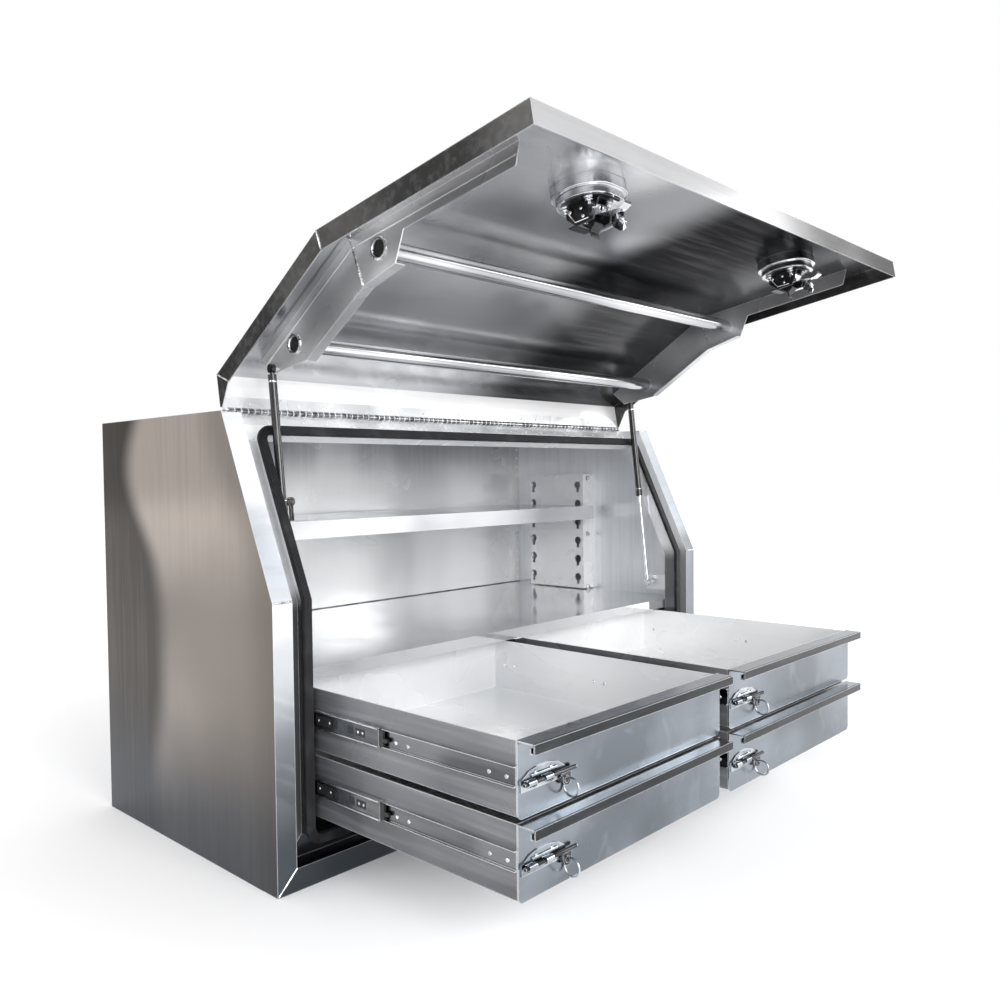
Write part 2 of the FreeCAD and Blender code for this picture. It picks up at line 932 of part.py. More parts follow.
def lock_pan(side, name):
    """Pressed oval pan let into the lid from outside, in two steps, with the handle's two ears."""
    body = body_of(name)
    rim_wide = size("lock_pan_flange") * 2
    inset = size("lock_step_inset") * 2
    wall = lock_sheet * 2
    ledge = lid_front + size("lock_pan_depth")
    face = lid_front - lock_sheet
    stadium(body, face, lid_front, side, pan_length + rim_wide, pan_width + rim_wide)
    stadium(body, face, ledge, side, pan_length, pan_width)
    stadium(body, face, pan_floor, side, pan_length - inset, pan_width - inset)
    stadium(body, face - over, ledge - lock_sheet, side,
            pan_length - wall, pan_width - wall, cut=True)
    stadium(body, face - over, pan_floor - lock_sheet, side,
            pan_length - inset - wall, pan_width - inset - wall, cut=True)
    ear_tip = [(barrel_y, handle_z, barrel_radius)]
    ear_foot, ear_top = handle_z - barrel_radius, handle_z + barrel_radius
    ear = box_outline(barrel_y, ear_foot, pan_floor, ear_top)
    thick, pin_length = size("handle_ear_sheet"), size("handle_pin_length")
    near, far = barrel_half + gap, barrel_half - pin_length
    pin = [(barrel_y, handle_z, size("handle_pin_radius"))]
    middle = pan_x * side
    for start in (middle + near, middle - near - thick):
        prism(body, "X", start, start + thick, ear)
        prism(body, "X", start, start + thick, circles=ear_tip)
    prism(body, "X", middle + far, middle + near + thick, circles=pin)
    prism(body, "X", middle - near - thick, middle - far, circles=pin)
    return body


def lock_housing(side, name):
    """Folded steel bracket on the pan: a base plate and two cheeks with the cross pin."""
    body = body_of(name)
    middle = pan_x * side
    tall = size("lock_cheek_length")
    reach = size("lock_cheek_depth")
    base = box_outline(middle - cheek_half, pan_z - tall / 2, middle + cheek_half, pan_z + tall / 2)
    prism(body, "Y", pan_floor, pan_floor + cheek_sheet, base)
    cheek = [
        (pan_floor, pan_z - tall / 2),
        (pan_floor + reach, pan_z - tall / 4),
        (pan_floor + reach, pan_z + tall / 4),
        (pan_floor + reach / 2, pan_z + tall / 2),
        (pan_floor, pan_z + tall / 2),
    ]
    prism(body, "X", middle - cheek_half, middle - cheek_half + cheek_sheet, cheek)
    prism(body, "X", middle + cheek_half - cheek_sheet, middle + cheek_half, cheek)
    pin = (pin_y, pin_z, size("lock_pin_radius"))
    proud = cheek_half + cheek_sheet
    prism(body, "X", middle - proud, middle + proud, circles=[pin])
    return body


def lock_claw(side, name):
    """Hooked claw on the cross pin, which grips the striker behind the sill."""
    body = body_of(name)
    middle = pan_x * side
    half_claw = size("claw_width") / 2
    boss, reach = size("claw_radius"), size("claw_reach")
    crank, tip_length = size("claw_crank"), size("claw_tip_length")
    tip_front = pin_y + size("claw_tip_front")
    tip_back = tip_front + size("claw_tip_thickness")
    shoulder = tip_back + size("claw_tip_thickness")
    prism(body, "X", middle - half_claw, middle + half_claw, circles=[(pin_y, pin_z, boss)])
    arm = [
        (pin_y - boss, pin_z),
        (pin_y - boss / 2, pin_z - crank),
        (tip_front, pin_z - reach + tip_length),
        (tip_front, pin_z - reach),
        (tip_back, pin_z - reach),
        (shoulder, pin_z - reach + tip_length),
        (shoulder - skin, pin_z - crank),
        (pin_y + boss, pin_z),
    ]
    prism(body, "X", middle - half_claw, middle + half_claw, arm)
    bore = (pin_y, pin_z, size("lock_pin_radius") + running)
    prism(body, "X", middle - half_claw - over, middle + half_claw + over,
          circles=[bore], cut=True)
    place_on_lid(body)
    return body


def lock_handle(side, name):
    """Paddle handle that lies in the pan, with its hinge barrel and the key cylinder."""
    body = body_of(name)
    middle = pan_x * side
    half_long = size("handle_length") / 2
    foot = pan_z - size("handle_width") / 2
    paddle_top = handle_z - barrel_radius - gap
    paddle = box_outline(middle - half_long, foot, middle + half_long, paddle_top)
    prism(body, "Y", lid_front, barrel_y, paddle)
    corners = [(middle - half_long, foot), (middle + half_long, foot)]
    round_edges(body, "Y", corners, size("handle_width") / 3)
    neck = box_outline(middle - barrel_half, foot, middle + barrel_half, handle_z)
    prism(body, "Y", lid_front, barrel_y, neck)
    start, end = middle - barrel_half, middle + barrel_half
    prism(body, "X", start, end, circles=[(barrel_y, handle_z, barrel_radius)])
    bore = [(barrel_y, handle_z, size("handle_pin_radius") + running)]
    depth_in = size("handle_pin_length") + running
    prism(body, "X", start - over, start + depth_in, circles=bore, cut=True)
    prism(body, "X", end - depth_in, end + over, circles=bore, cut=True)
    cylinder = (middle, pan_z, size("key_cylinder_radius"))
    prism(body, "Y", lid_front - lock_sheet, barrel_y + size("key_cylinder_length"),
          circles=[cylinder])
    place_on_lid(body)
    return body


def lid_locks():
    pans = group("lock_pans", lock_pan(-1, "left_lock_pan"), lock_pan(1, "right_lock_pan"))
    housings = group(
        "lock_housings", lock_housing(-1, "left_lock_housing"), lock_housing(1, "right_lock_housing")
    )
    place_on_lid(pans)
    place_on_lid(housings)
    keep(pans, housings)
    for side, name in ((-1, "left"), (1, "right")):
        keep(lock_handle(side, name + "_lock_handle"), lock_claw(side, name + "_lock_claw"))


lid_locks()


def lock_strikers():
    """Two upright catch plates on the back of the sill, below the lowest drawers."""
    pieces = []
    for side, name in ((-1, "left_striker"), (1, "right_striker")):
        body = body_of(name)
        middle = pan_x * side
        wide = size("striker_width") / 2
        thick = size("striker_sheet")
        foot, top = lip_edge - size("striker_lap"), lip_edge + size("striker_rise")
        outline = box_outline(middle - wide, foot, middle + wide, top)
        prism(body, "Y", gutter, gutter + thick, outline)
        corners = [(middle - wide, top), (middle + wide, top)]
        round_edges(body, "Y", corners, thick * 2)
        pieces.append(body)
    pair = group("lock_strikers", *pieces)
    place(pair)
    return pair


keep(lock_strikers())

# Gas struts, each drawn upright from its lower eye and then tipped to reach the lid
foot_y, foot_z = size("strut_foot_back"), size("strut_foot_height")
head_y, head_z = swung(size("strut_head_back"), size("strut_head_height"))
strut_lean = slant(head_y - foot_y, head_z - foot_z)
strut_length = root(
    (head_y - foot_y) * (head_y - foot_y) + (head_z - foot_z) * (head_z - foot_z)
)
eye, eye_half = size("strut_eye_radius"), size("strut_eye_width") / 2
rod, tube = size("strut_rod_radius"), size("strut_tube_radius")
tube_foot = strut_length - eye - size("strut_tube_length")
collar_length = size("strut_collar_length")


def strut_rod(name, side):
    """Polished rod with its eye below and the piston on its upper end."""
    body = body_of(name)
    piston = tube - size("strut_tube_wall") - gap
    piston_foot = tube_foot + collar_length + gap
    piston_top = piston_foot + size("piston_length")
    outline = [
        (0, eye / 2),
        (rod, eye / 2),
        (rod, piston_foot),
        (piston, piston_foot),
        (piston, piston_top),
        (0, piston_top),
    ]
    turn(body, outline)
    prism(body, "X", -eye_half, eye_half, circles=[(0, 0, eye)])
    bore = size("strut_pin_radius") + running
    prism(body, "X", -eye, eye, circles=[(0, 0, bore)], cut=True)
    place(body, strut_x * side, foot_y, foot_z, strut_lean)
    return body


def strut_cylinder(name, side):
    """Pressure tube with a collar at its foot, a bore for the piston and an eye on top."""
    body = body_of(name)
    bore = tube - size("strut_tube_wall")
    collar = size("strut_collar_radius")
    guide = rod + running
    top = strut_length - eye - size("strut_neck")
    outline = [
        (guide, tube_foot),
        (collar, tube_foot),
        (collar, tube_foot + collar_length),
        (tube, tube_foot + collar_length),
        (tube, top),
        (0, top),
        (0, top - tube),
        (bore, top - tube),
        (bore, tube_foot + collar_length),
        (guide, tube_foot + collar_length),
    ]
    turn(body, outline)
    prism(body, "Z", top, strut_length, circles=[(0, 0, rod)])
    prism(body, "X", -eye_half, eye_half, circles=[(0, strut_length, eye)])
    place(body, strut_x * side, foot_y, foot_z, strut_lean)
    return body


def strut_brackets():
    """A plate welded behind each side frame, with the pin that carries the strut's lower eye."""
    pieces = []
    for side, name in ((-1, "left_bracket"), (1, "right_bracket")):
        body = body_of(name)
        inner = half - lip_edge
        tall, reach = size("bracket_height") / 2, size("bracket_reach")
        pin = size("strut_pin_radius")
        outline = box_outline(gutter, foot_z - tall, gutter + reach, foot_z + tall)
        far = strut_x - eye_half - gap
        levels = {
            1: (inner, inner + sheet, far - size("strut_pin_head")),
            -1: (-inner - sheet, -inner, size("strut_pin_head") - far),
        }
        plate_start, plate_end, tip = levels[side]
        prism(body, "X", plate_start, plate_end, outline)
        pin_levels = (plate_end, tip) if side < 0 else (tip, plate_start)
        prism(body, "X", *pin_levels, circles=[(foot_y, foot_z, pin)])
        head_levels = (-far, tip) if side < 0 else (tip, far)
        head = pin + size("strut_pin_head")
        prism(body, "X", *head_levels, circles=[(foot_y, foot_z, head)])
        pieces.append(body)
    pair = group("strut_brackets", *pieces)
    place(pair)
    return pair


def spare_keys():
    """Two keys on a wire ring that hangs round the left strut, above its collar."""
    ring = doc.addObject("Part::Torus", "key_ring")
    ring_radius, wire = size("key_ring_radius"), size("key_ring_wire")
    ring.setExpression("Radius1", ring_radius.text)
    ring.setExpression("Radius2", wire.text)
    ring_z = tube_foot + collar_length + wire + gap
    shift = ring_radius - wire - tube - gap
    ring.setExpression("Placement.Base.x", shift.text)
    ring.setExpression("Placement.Base.z", ring_z.text)
    bow, hole = size("key_bow_radius"), size("key_hole_radius")
    blade_half, thick = size("key_blade_width") / 2, size("key_sheet")
    hang = shift + ring_radius
    pieces = [ring]
    for order, name in ((-1, "first_key"), (1, "second_key")):
        body = body_of(name)
        start = thick * order - thick / 2
        centre = ring_z - bow + hole * 2 - wire
        circles = [(hang, centre, bow)]
        prism(body, "Y", start, start + thick, circles=circles)
        blade = box_outline(
            hang - blade_half, centre - bow - size("key_blade_length"), hang + blade_half, centre
        )
        prism(body, "Y", start, start + thick, blade)
        eye_hole = (hang, ring_z, hole)
        prism(body, "Y", start - over, start + thick + over, circles=[eye_hole], cut=True)
        pieces.append(body)
    together = group("spare_keys", *pieces)
    place(together, -strut_x, foot_y, foot_z, strut_lean)
    return together


for side, name in ((-1, "left"), (1, "right")):
    keep(strut_rod(name + "_strut_rod", side), strut_cylinder(name + "_strut_cylinder", side))
keep(strut_brackets(), spare_keys())

# Upper compartment
floor_top, floor_front = size("floor_top"), size("floor_front")
floor_foot = floor_top - sheet
floor_lip_foot = floor_top - size("floor_lip")


def mid_floor():
    """Floor of the upper compartment, its front edge folded down."""
    body = body_of("middle_floor")
    outline = [
        (floor_front, floor_top),
        (floor_front, floor_lip_foot),
        (floor_front + sheet, floor_lip_foot),
        (floor_front + sheet, floor_foot),
        (depth - sheet, floor_foot),
        (depth - sheet, floor_top),
    ]
    prism(body, "X", sheet - half, half - sheet, outline)
    place(body)
    return body


hook_front = size("hook_plate_front")
hook_sheet = size("hook_plate_sheet")
hook_columns = [
    hook_front + size("hook_column_inset"),
    hook_front + size("hook_column_inset") + size("hook_column_spread"),
]
hook_face = size("hook_plate_standoff")
wall = sheet - half


def hook_plate():
    """Channel plate on the left wall, with two columns of keyholes for the shelf's studs."""
    body = body_of("left_hook_plate")
    back = hook_front + size("hook_plate_width")
    foot_width = size("hook_plate_flange")
    outline = [
        (wall, hook_front),
        (wall + hook_face, hook_front),
        (wall + hook_face, back),
        (wall, back),
        (wall, back - foot_width),
        (wall + hook_sheet, back - foot_width),
        (wall + hook_sheet, back - hook_sheet),
        (wall + hook_face - hook_sheet, back - hook_sheet),
        (wall + hook_face - hook_sheet, hook_front + hook_sheet),
        (wall + hook_sheet, hook_front + hook_sheet),
        (wall + hook_sheet, hook_front + foot_width),
        (wall, hook_front + foot_width),
    ]
    plate_foot = floor_top + size("hook_plate_lift")
    prism(body, "Z", plate_foot, size("hook_plate_top"), outline)
    heads, slots = [], []
    row_z = size("hook_row_foot")
    head, slot = size("hook_head_radius"), size("hook_slot_radius")
    while row_z.value + head.value < size("hook_plate_top").value:
        for column in hook_columns:
            heads.append((column, row_z, head))
            slot_foot = row_z - size("hook_slot_drop") - slot
            slots.append(box_outline(column - slot, slot_foot, column + slot, row_z))
        row_z = row_z + size("hook_row_pitch")
    start = wall + hook_face - hook_sheet - over
    end = wall + hook_face + over
    prism(body, "X", start, end, circles=heads, cut=True)
    prism(body, "X", start, end, *slots, cut=True)
    return body


def hook_plates():
    left = hook_plate()
    pair = group("keyhole_plates", left, mirror("right_hook_plate", left))
    place(pair)
    return pair


def shelf():
    """Hook-in shelf: a folded tray turned upside down, with two headed studs at each end."""
    body = body_of("shelf")
    row = size("hook_row_foot") + size("hook_row_pitch") * size("shelf_row_share")
    slot_foot = row - size("hook_slot_drop") - size("hook_slot_radius")
    stud = size("hook_slot_radius") - gap
    stud_z = slot_foot + stud + gap
    top = stud_z + size("shelf_rise")
    foot = top - size("shelf_flange")
    front = size("shelf_front")
    back = front + size("shelf_depth")
    thin = size("shelf_sheet")
    half_shelf = half - sheet - hook_face - size("shelf_end_gap")
    prism(body, "X", -half_shelf, half_shelf, box_outline(front, foot, back, top))
    inside = box_outline(front + thin, foot - over, back - thin, top - thin)
    prism(body, "X", thin - half_shelf, half_shelf - thin, inside, cut=True)
    plate_back = half - sheet - hook_face + hook_sheet + gap
    head = stud + size("stud_head")
    shanks = [(column, stud_z, stud) for column in hook_columns]
    heads = [(column, stud_z, head) for column in hook_columns]
    far = plate_back + size("stud_head")
    prism(body, "X", half_shelf - thin, plate_back, circles=shanks)
    prism(body, "X", plate_back, far, circles=heads)
    prism(body, "X", -plate_back, thin - half_shelf, circles=shanks)
    prism(body, "X", -far, -plate_back, circles=heads)
    place(body)
    return body


keep(mid_floor(), hook_plates(), shelf())

# Drawer bay
bay_front, bay_sheet = size("bay_front"), size("bay_sheet")
bay_back = depth - sheet - size("bay_back_gap")
notch = floor_lip_foot - gap
bay_outline = [
    (bay_front, sheet),
    (bay_back, sheet),
    (bay_back, floor_foot),
    (floor_front + sheet + gap, floor_foot),
    (floor_front + sheet + gap, notch),
    (bay_front, notch),
]
bay_left = size("bay_inset") - half
right_wall = half - size("right_wall_inset")
stack_width = (right_wall - bay_left - size("divider_width")) / 2
divider_left = bay_left + stack_width
divider_right = divider_left + size("divider_width")
tray_width = stack_width - size("slide_thickness") * 2
front_width = tray_width + size("drawer_front_overhang")
rows = [size("drawer_foot"), size("drawer_foot") + size("drawer_stack")]
closed_front = size("slide_length") - size("drawer_open_front")
bolt_back = closed_front - size("bolt_standoff")
bolt_holes = [
    (bolt_back, row + size("bolt_height"), size("bolt_radius") + gap * 2) for row in rows
]


def drawer_divider():
    """Upright channel between the stacks, open at the back; the left drawers' fronts shut
    into the step of its front corner."""
    body = body_of("drawer_divider")
    step_front = size("right_wall_front")

    def channel_outline(thin, back):
        step = divider_left + size("divider_step") + thin
        return [
            (divider_left + thin, step_front + thin),
            (step, step_front + thin),
            (step, bay_front + thin),
            (divider_right - thin, bay_front + thin),
            (divider_right - thin, back),
            (divider_left + thin, back),
        ]

    prism(body, "Z", sheet, floor_foot, channel_outline(as_size(0), bay_back))
    prism(body, "Z", 0, floor_top, channel_outline(bay_sheet, bay_back + over), cut=True)
    clear = box_outline(bay_front - over, notch, floor_front + sheet + gap, floor_top)
    prism(body, "X", divider_left - over, divider_right + over, clear, cut=True)
    prism(body, "X", divider_right - bay_sheet - over / 2, divider_right + over,
          circles=bolt_holes, cut=True)
    place(body)
    return body


def slide_walls():
    """Folded side walls that carry the outer slides, each with a front return to the box side."""
    left = body_of("left_slide_wall")
    prism(left, "X", bay_left - bay_sheet, bay_left, bay_outline)
    prism(left, "X", bay_left - bay_sheet - over, bay_left + over, circles=bolt_holes, cut=True)
    web = box_outline(wall, bay_front, bay_left, bay_front + bay_sheet)
    prism(left, "Z", sheet, notch, web)
    right = body_of("right_slide_wall")
    right_front = size("right_wall_front")
    outline = box_outline(right_front, sheet, bay_back, floor_foot)
    prism(right, "X", right_wall, right_wall + bay_sheet, outline)
    web = box_outline(right_wall, right_front, half - sheet, right_front + bay_sheet)
    prism(right, "Z", sheet, floor_foot, web)
    pair = group("slide_mounting_walls", left, right)
    place(pair)
    return pair


keep(drawer_divider(), slide_walls())

# Telescopic slides: nested channels, drawn as distances from the wall that carries them
slide_sheet, slide_gap = size("slide_sheet"), size("slide_gap")
slide_thick = size("slide_thickness")
outer_half = size("slide_height") / 2
middle_half = outer_half - slide_sheet - slide_gap
inner_half = middle_half - slide_sheet - slide_gap


def channel(body, web_face, web_back, flange_tip, centre, half_height, start, end, wall_x, side):
    """A slide member: a web with its two edges turned over, along Y."""

    def across(distance):
        return wall_x + distance * side

    outline = [
        (across(web_back), centre - half_height),
        (across(flange_tip), centre - half_height),
        (across(flange_tip), centre - half_height + slide_sheet),
        (across(web_face), centre - half_height + slide_sheet),
        (across(web_face), centre + half_height - slide_sheet),
        (across(flange_tip), centre + half_height - slide_sheet),
        (across(flange_tip), centre + half_height),
        (across(web_back), centre + half_height),
    ]
    prism(body, "Y", start, end, outline)


def slide_member(name, kind, wall_x, side, row):
    """One member of one slide: outer on the wall, middle between, inner on the tray."""
    body = body_of(name)
    centre = row + size("slide_centre")
    open_front = -size("drawer_open_front")
    if kind == "outer":
        start = size("right_wall_front")
        channel(body, slide_sheet, as_size(0), size("slide_flange"), centre, outer_half,
                start, start + size("slide_length"), wall_x, side)
    elif kind == "middle":
        inset = size("slide_middle_inset")
        start = -size("slide_middle_front")
        channel(body, inset + slide_sheet, inset, slide_thick - slide_sheet - slide_gap,
                centre, middle_half, start, start + size("slide_middle_length"), wall_x, side)
    else:
        start = open_front + size("drawer_front_sheet")
        channel(body, slide_thick - slide_sheet, slide_thick, size("slide_flange"),
                centre, inner_half, start, start + size("slide_inner_length"), wall_x, side)
    return body


drawer_lefts = [bay_left + slide_thick, divider_right + slide_thick]
DRAWERS = [
    ("upper_left", drawer_lefts[0], rows[1]),
    ("upper_right", drawer_lefts[1], rows[1]),
    ("lower_left", drawer_lefts[0], rows[0]),
    ("lower_right", drawer_lefts[1], rows[0]),
]


def slide_pair(name, kind, left, row):
    """The two like members of one drawer's slides."""
    left_wall = left - slide_thick
    right_wall_x = left + tray_width + slide_thick
    members = [
        slide_member(f"{name}_{kind}_near", kind, left_wall, 1, row),
        slide_member(f"{name}_{kind}_far", kind, right_wall_x, -1, row),
    ]
    return members


def drawer_tray(name, left, row):
    """Folded drawer tray, open on top."""
    body = body_of(name + "_tray")
    thin = size("tray_sheet")
    front = size("drawer_front_sheet") - size("drawer_open_front")
    back = front + size("tray_depth")
    right = left + tray_width
    foot = row + size("tray_lift")
    top = row + size("drawer_front_height")
    prism(body, "Z", foot, top, box_outline(left, front, right, back))
    hollow = box_outline(left + thin, front + thin, right - thin, back - thin)
    prism(body, "Z", foot + thin, top + over, hollow, cut=True)
    place(body)
    return body


def drawer_front(name, left, row):
    """Drawer front with rounded lower corners; its top is folded out into a full-width grip."""
    body = body_of(name + "_front")
    thin = size("drawer_front_sheet")
    front = -size("drawer_open_front")
    right = left + front_width
    top = row + size("drawer_front_height")
    prism(body, "Y", front, front + thin, box_outline(left, row, right, top))
    round_edges(body, "Y", [(left, row), (right, row)], size("drawer_front_corner"))
    nose = front - size("handle_reach")
    drop_z = top - size("handle_drop")
    fold = size("handle_return")
    grip = [
        (front, top),
        (nose, top),
        (nose, drop_z),
        (nose + fold, drop_z),
        (nose + fold, drop_z + fold),
        (nose + fold - thin, drop_z + fold),
        (nose + fold - thin, drop_z + thin),
        (nose + thin, drop_z + thin),
        (nose + thin, top - thin),
        (front, top - thin),
    ]
    prism(body, "X", left, right - size("handle_end_gap"), grip)
    place(body)
    return body


def latch_base(name, left, row):
    """Riveted latch plate with a domed top and two rolled barrels for the bolt."""
    body = body_of(name + "_latch_base")
    face = -size("drawer_open_front")
    start = left + size("latch_inset")
    end = start + size("latch_length")
    foot = row + size("latch_foot")
    top = foot + size("latch_height")
    shoulder, dome = size("latch_shoulder"), size("latch_dome")
    outline = [
        (start, foot),
        (end, foot),
        (end, top - shoulder),
        (end - dome, top - shoulder / 4),
        (end - dome * 2, top),
        (start + dome * 2, top),
        (start + dome, top - shoulder / 4),
        (start, top - shoulder),
    ]
    prism(body, "Y", face - size("latch_sheet"), face, outline)
    axis_y = face - size("bolt_standoff")
    axis_z = row + size("bolt_height")
    first = start + size("barrel_inset")
    for index in range(2):
        barrel_start = first + size("barrel_pitch") * index
        circle = (axis_y, axis_z, size("barrel_radius"))
        prism(body, "X", barrel_start, barrel_start + size("barrel_length"), circles=[circle])
    bore = (axis_y, axis_z, size("bolt_radius") + running)
    prism(body, "X", start - over, end + over, circles=[bore], cut=True)
    place(body)
    return body


def latch_bolt(name, left, row):
    """Round bolt with a teardrop tab below it, bored for the pull ring."""
    body = body_of(name + "_latch_bolt")
    face = -size("drawer_open_front")
    axis_y = face - size("bolt_standoff")
    axis_z = row + size("bolt_height")
    start = left + size("bolt_inset")
    prism(body, "X", start, start + size("bolt_length"),
          circles=[(axis_y, axis_z, size("bolt_radius"))])
    tab_x = left + size("tab_centre")
    tab_z = axis_z - size("tab_drop")
    tab, neck = size("tab_radius"), size("tab_neck")
    tab_front = axis_y - size("tab_sheet") / 2
    tab_back = tab_front + size("tab_sheet")
    prism(body, "Y", tab_front, tab_back, circles=[(tab_x, tab_z, tab)])
    arm = [
        (tab_x - neck, axis_z),
        (tab_x - tab, tab_z),
        (tab_x + tab, tab_z),
        (tab_x + neck, axis_z),
    ]
    prism(body, "Y", tab_front, tab_back, arm)
    hole = (tab_x, tab_z, size("tab_hole_radius"))
    prism(body, "Y", tab_front - over, tab_back + over, circles=[hole], cut=True)
    place(body)
    return body


def latch_ring(name, left, row):
    """Wire pull ring hanging through the tab, resting against the drawer front."""
    label = name + "_latch_ring"
    ring = doc.addObject("Part::Torus", label)
    ring.Label = label
    radius, wire = size("ring_radius"), size("ring_wire")
    ring.setExpression("Radius1", radius.text)
    ring.setExpression("Radius2", wire.text)
    face = -size("drawer_open_front")
    lead = size("bolt_standoff") - wire - radius - gap
    tab_z = row + size("bolt_height") - size("tab_drop")
    centre_z = tab_z - root(radius * radius - lead * lead)
    ring.Placement = FreeCAD.Placement(
        FreeCAD.Vector(0, 0, 0), FreeCAD.Rotation(FreeCAD.Vector(0, 1, 0), 90)
    )
    ring.setExpression("Placement.Base.x", (left + size("tab_centre")).text)
    ring.setExpression("Placement.Base.y", (face - wire - gap - radius - depth / 2).text)
    ring.setExpression("Placement.Base.z", centre_z.text)
    return ring


def drawers():
    outers = []
    for name, left, row in DRAWERS:
        outers.extend(slide_pair(name, "outer", left, row))
        keep(drawer_tray(name, left, row), drawer_front(name, left, row))
        for kind in ("middle", "inner"):
            pair = group(f"{name}_slide_{kind}s", *slide_pair(name, kind, left, row))
            place(pair)
            keep(pair)
        keep(latch_base(name, left, row), latch_bolt(name, left, row), latch_ring(name, left, row))
    fixed = group("cabinet_slides", *outers)
    place(fixed)
    keep(fixed)


drawers()

# Recompute, check every object and every finished solid, then write the sub-parts
doc.recompute()
for item in doc.Objects:
    faults = [state for state in item.State if state in ("Invalid", "Error")]
    if faults:
        raise RuntimeError(f"{item.Label} is {faults}")
for piece in NODES:
    if piece.Shape.isNull() or not piece.Shape.isValid() or not piece.Shape.Solids:
        raise RuntimeError(f"{piece.Label} has no valid solid")

os.makedirs("parts", exist_ok=True)
for piece in NODES:
    piece.Shape.exportStep(f"parts/{piece.Label}.step")
print(len(NODES), "sub-parts written")
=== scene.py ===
import math

import bmesh
import bpy
from mathutils import Euler, Matrix, Vector


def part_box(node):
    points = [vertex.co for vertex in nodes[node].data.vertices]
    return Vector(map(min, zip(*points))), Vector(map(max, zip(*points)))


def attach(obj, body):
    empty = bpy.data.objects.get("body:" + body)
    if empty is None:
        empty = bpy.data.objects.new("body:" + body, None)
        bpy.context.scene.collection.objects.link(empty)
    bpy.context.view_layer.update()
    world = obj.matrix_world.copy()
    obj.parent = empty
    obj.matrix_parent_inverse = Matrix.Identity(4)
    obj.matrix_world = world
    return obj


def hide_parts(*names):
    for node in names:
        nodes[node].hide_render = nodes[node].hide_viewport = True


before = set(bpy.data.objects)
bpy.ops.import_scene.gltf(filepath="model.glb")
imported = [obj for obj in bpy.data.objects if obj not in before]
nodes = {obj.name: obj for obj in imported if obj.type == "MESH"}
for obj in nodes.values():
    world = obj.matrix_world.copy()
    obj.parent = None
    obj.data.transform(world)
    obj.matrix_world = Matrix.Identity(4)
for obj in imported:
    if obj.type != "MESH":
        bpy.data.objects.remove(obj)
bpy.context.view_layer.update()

# Studio: a white floor that runs into a white backdrop, seen by a camera at the photograph's
# angle. The sky is white to the camera, has soft grey panels in it for the metal to mirror,
# and lights the box evenly.
CAMERA_PLACE = (-1.4520, -1.5038, 0.6756)
CAMERA_TURN = (88.038, 0.678, -45.579)
SENSOR = 36
LENS = 32.31
CAMERA_SHIFT = (0.0408, 0.0062)
FLOOR_SIZE = 40
FLOOR_COLOUR = (0.90, 0.90, 0.91)
FLOOR_SHADE = (0.86, 0.86, 0.87)
FLOOR_MIDDLE = (0, -0.2, 0)
FLOOR_FADE_END = 2.6
FLOOR_LIFT_NEAR, FLOOR_LIFT_FAR = 0.04, 0.40
SKY_LIGHT = 0.74
SKY_PANEL_DARK, SKY_PANEL_BRIGHT = 0.62, 1.05
SKY_OVERHEAD = 0.8
WHITE, BLACK = (1, 1, 1), (0, 0, 0)

scene = bpy.context.scene
scene.view_settings.view_transform = "Standard"

camera_data = bpy.data.cameras.new("camera")
camera_data.sensor_width = SENSOR
camera_data.lens = LENS
camera_data.shift_x, camera_data.shift_y = CAMERA_SHIFT
camera = bpy.data.objects.new("camera", camera_data)
camera.location = CAMERA_PLACE
camera.rotation_euler = Euler([math.radians(angle) for angle in CAMERA_TURN])
scene.collection.objects.link(camera)
scene.camera = camera


class Value:
    """A number that varies over a surface. Arithmetic on it adds Math nodes to its material."""

    def __init__(self, surface, socket):
        self.surface = surface
        self.socket = socket

    def maths(self, operation, *values):
        """One Math node on these values."""
        return self.surface.node("ShaderNodeMath", {"operation": operation}, *values)

    def size(self):
        """The value without its sign."""
        return self.maths("ABSOLUTE", self)

    def __add__(self, other):
        return self.maths("ADD", self, other)

    def __sub__(self, other):
        return self.maths("SUBTRACT", self, other)

    def __rsub__(self, other):
        return self.maths("SUBTRACT", other, self)

    def __mul__(self, other):
        return self.maths("MULTIPLY", self, other)

    __radd__ = __add__
    __rmul__ = __mul__


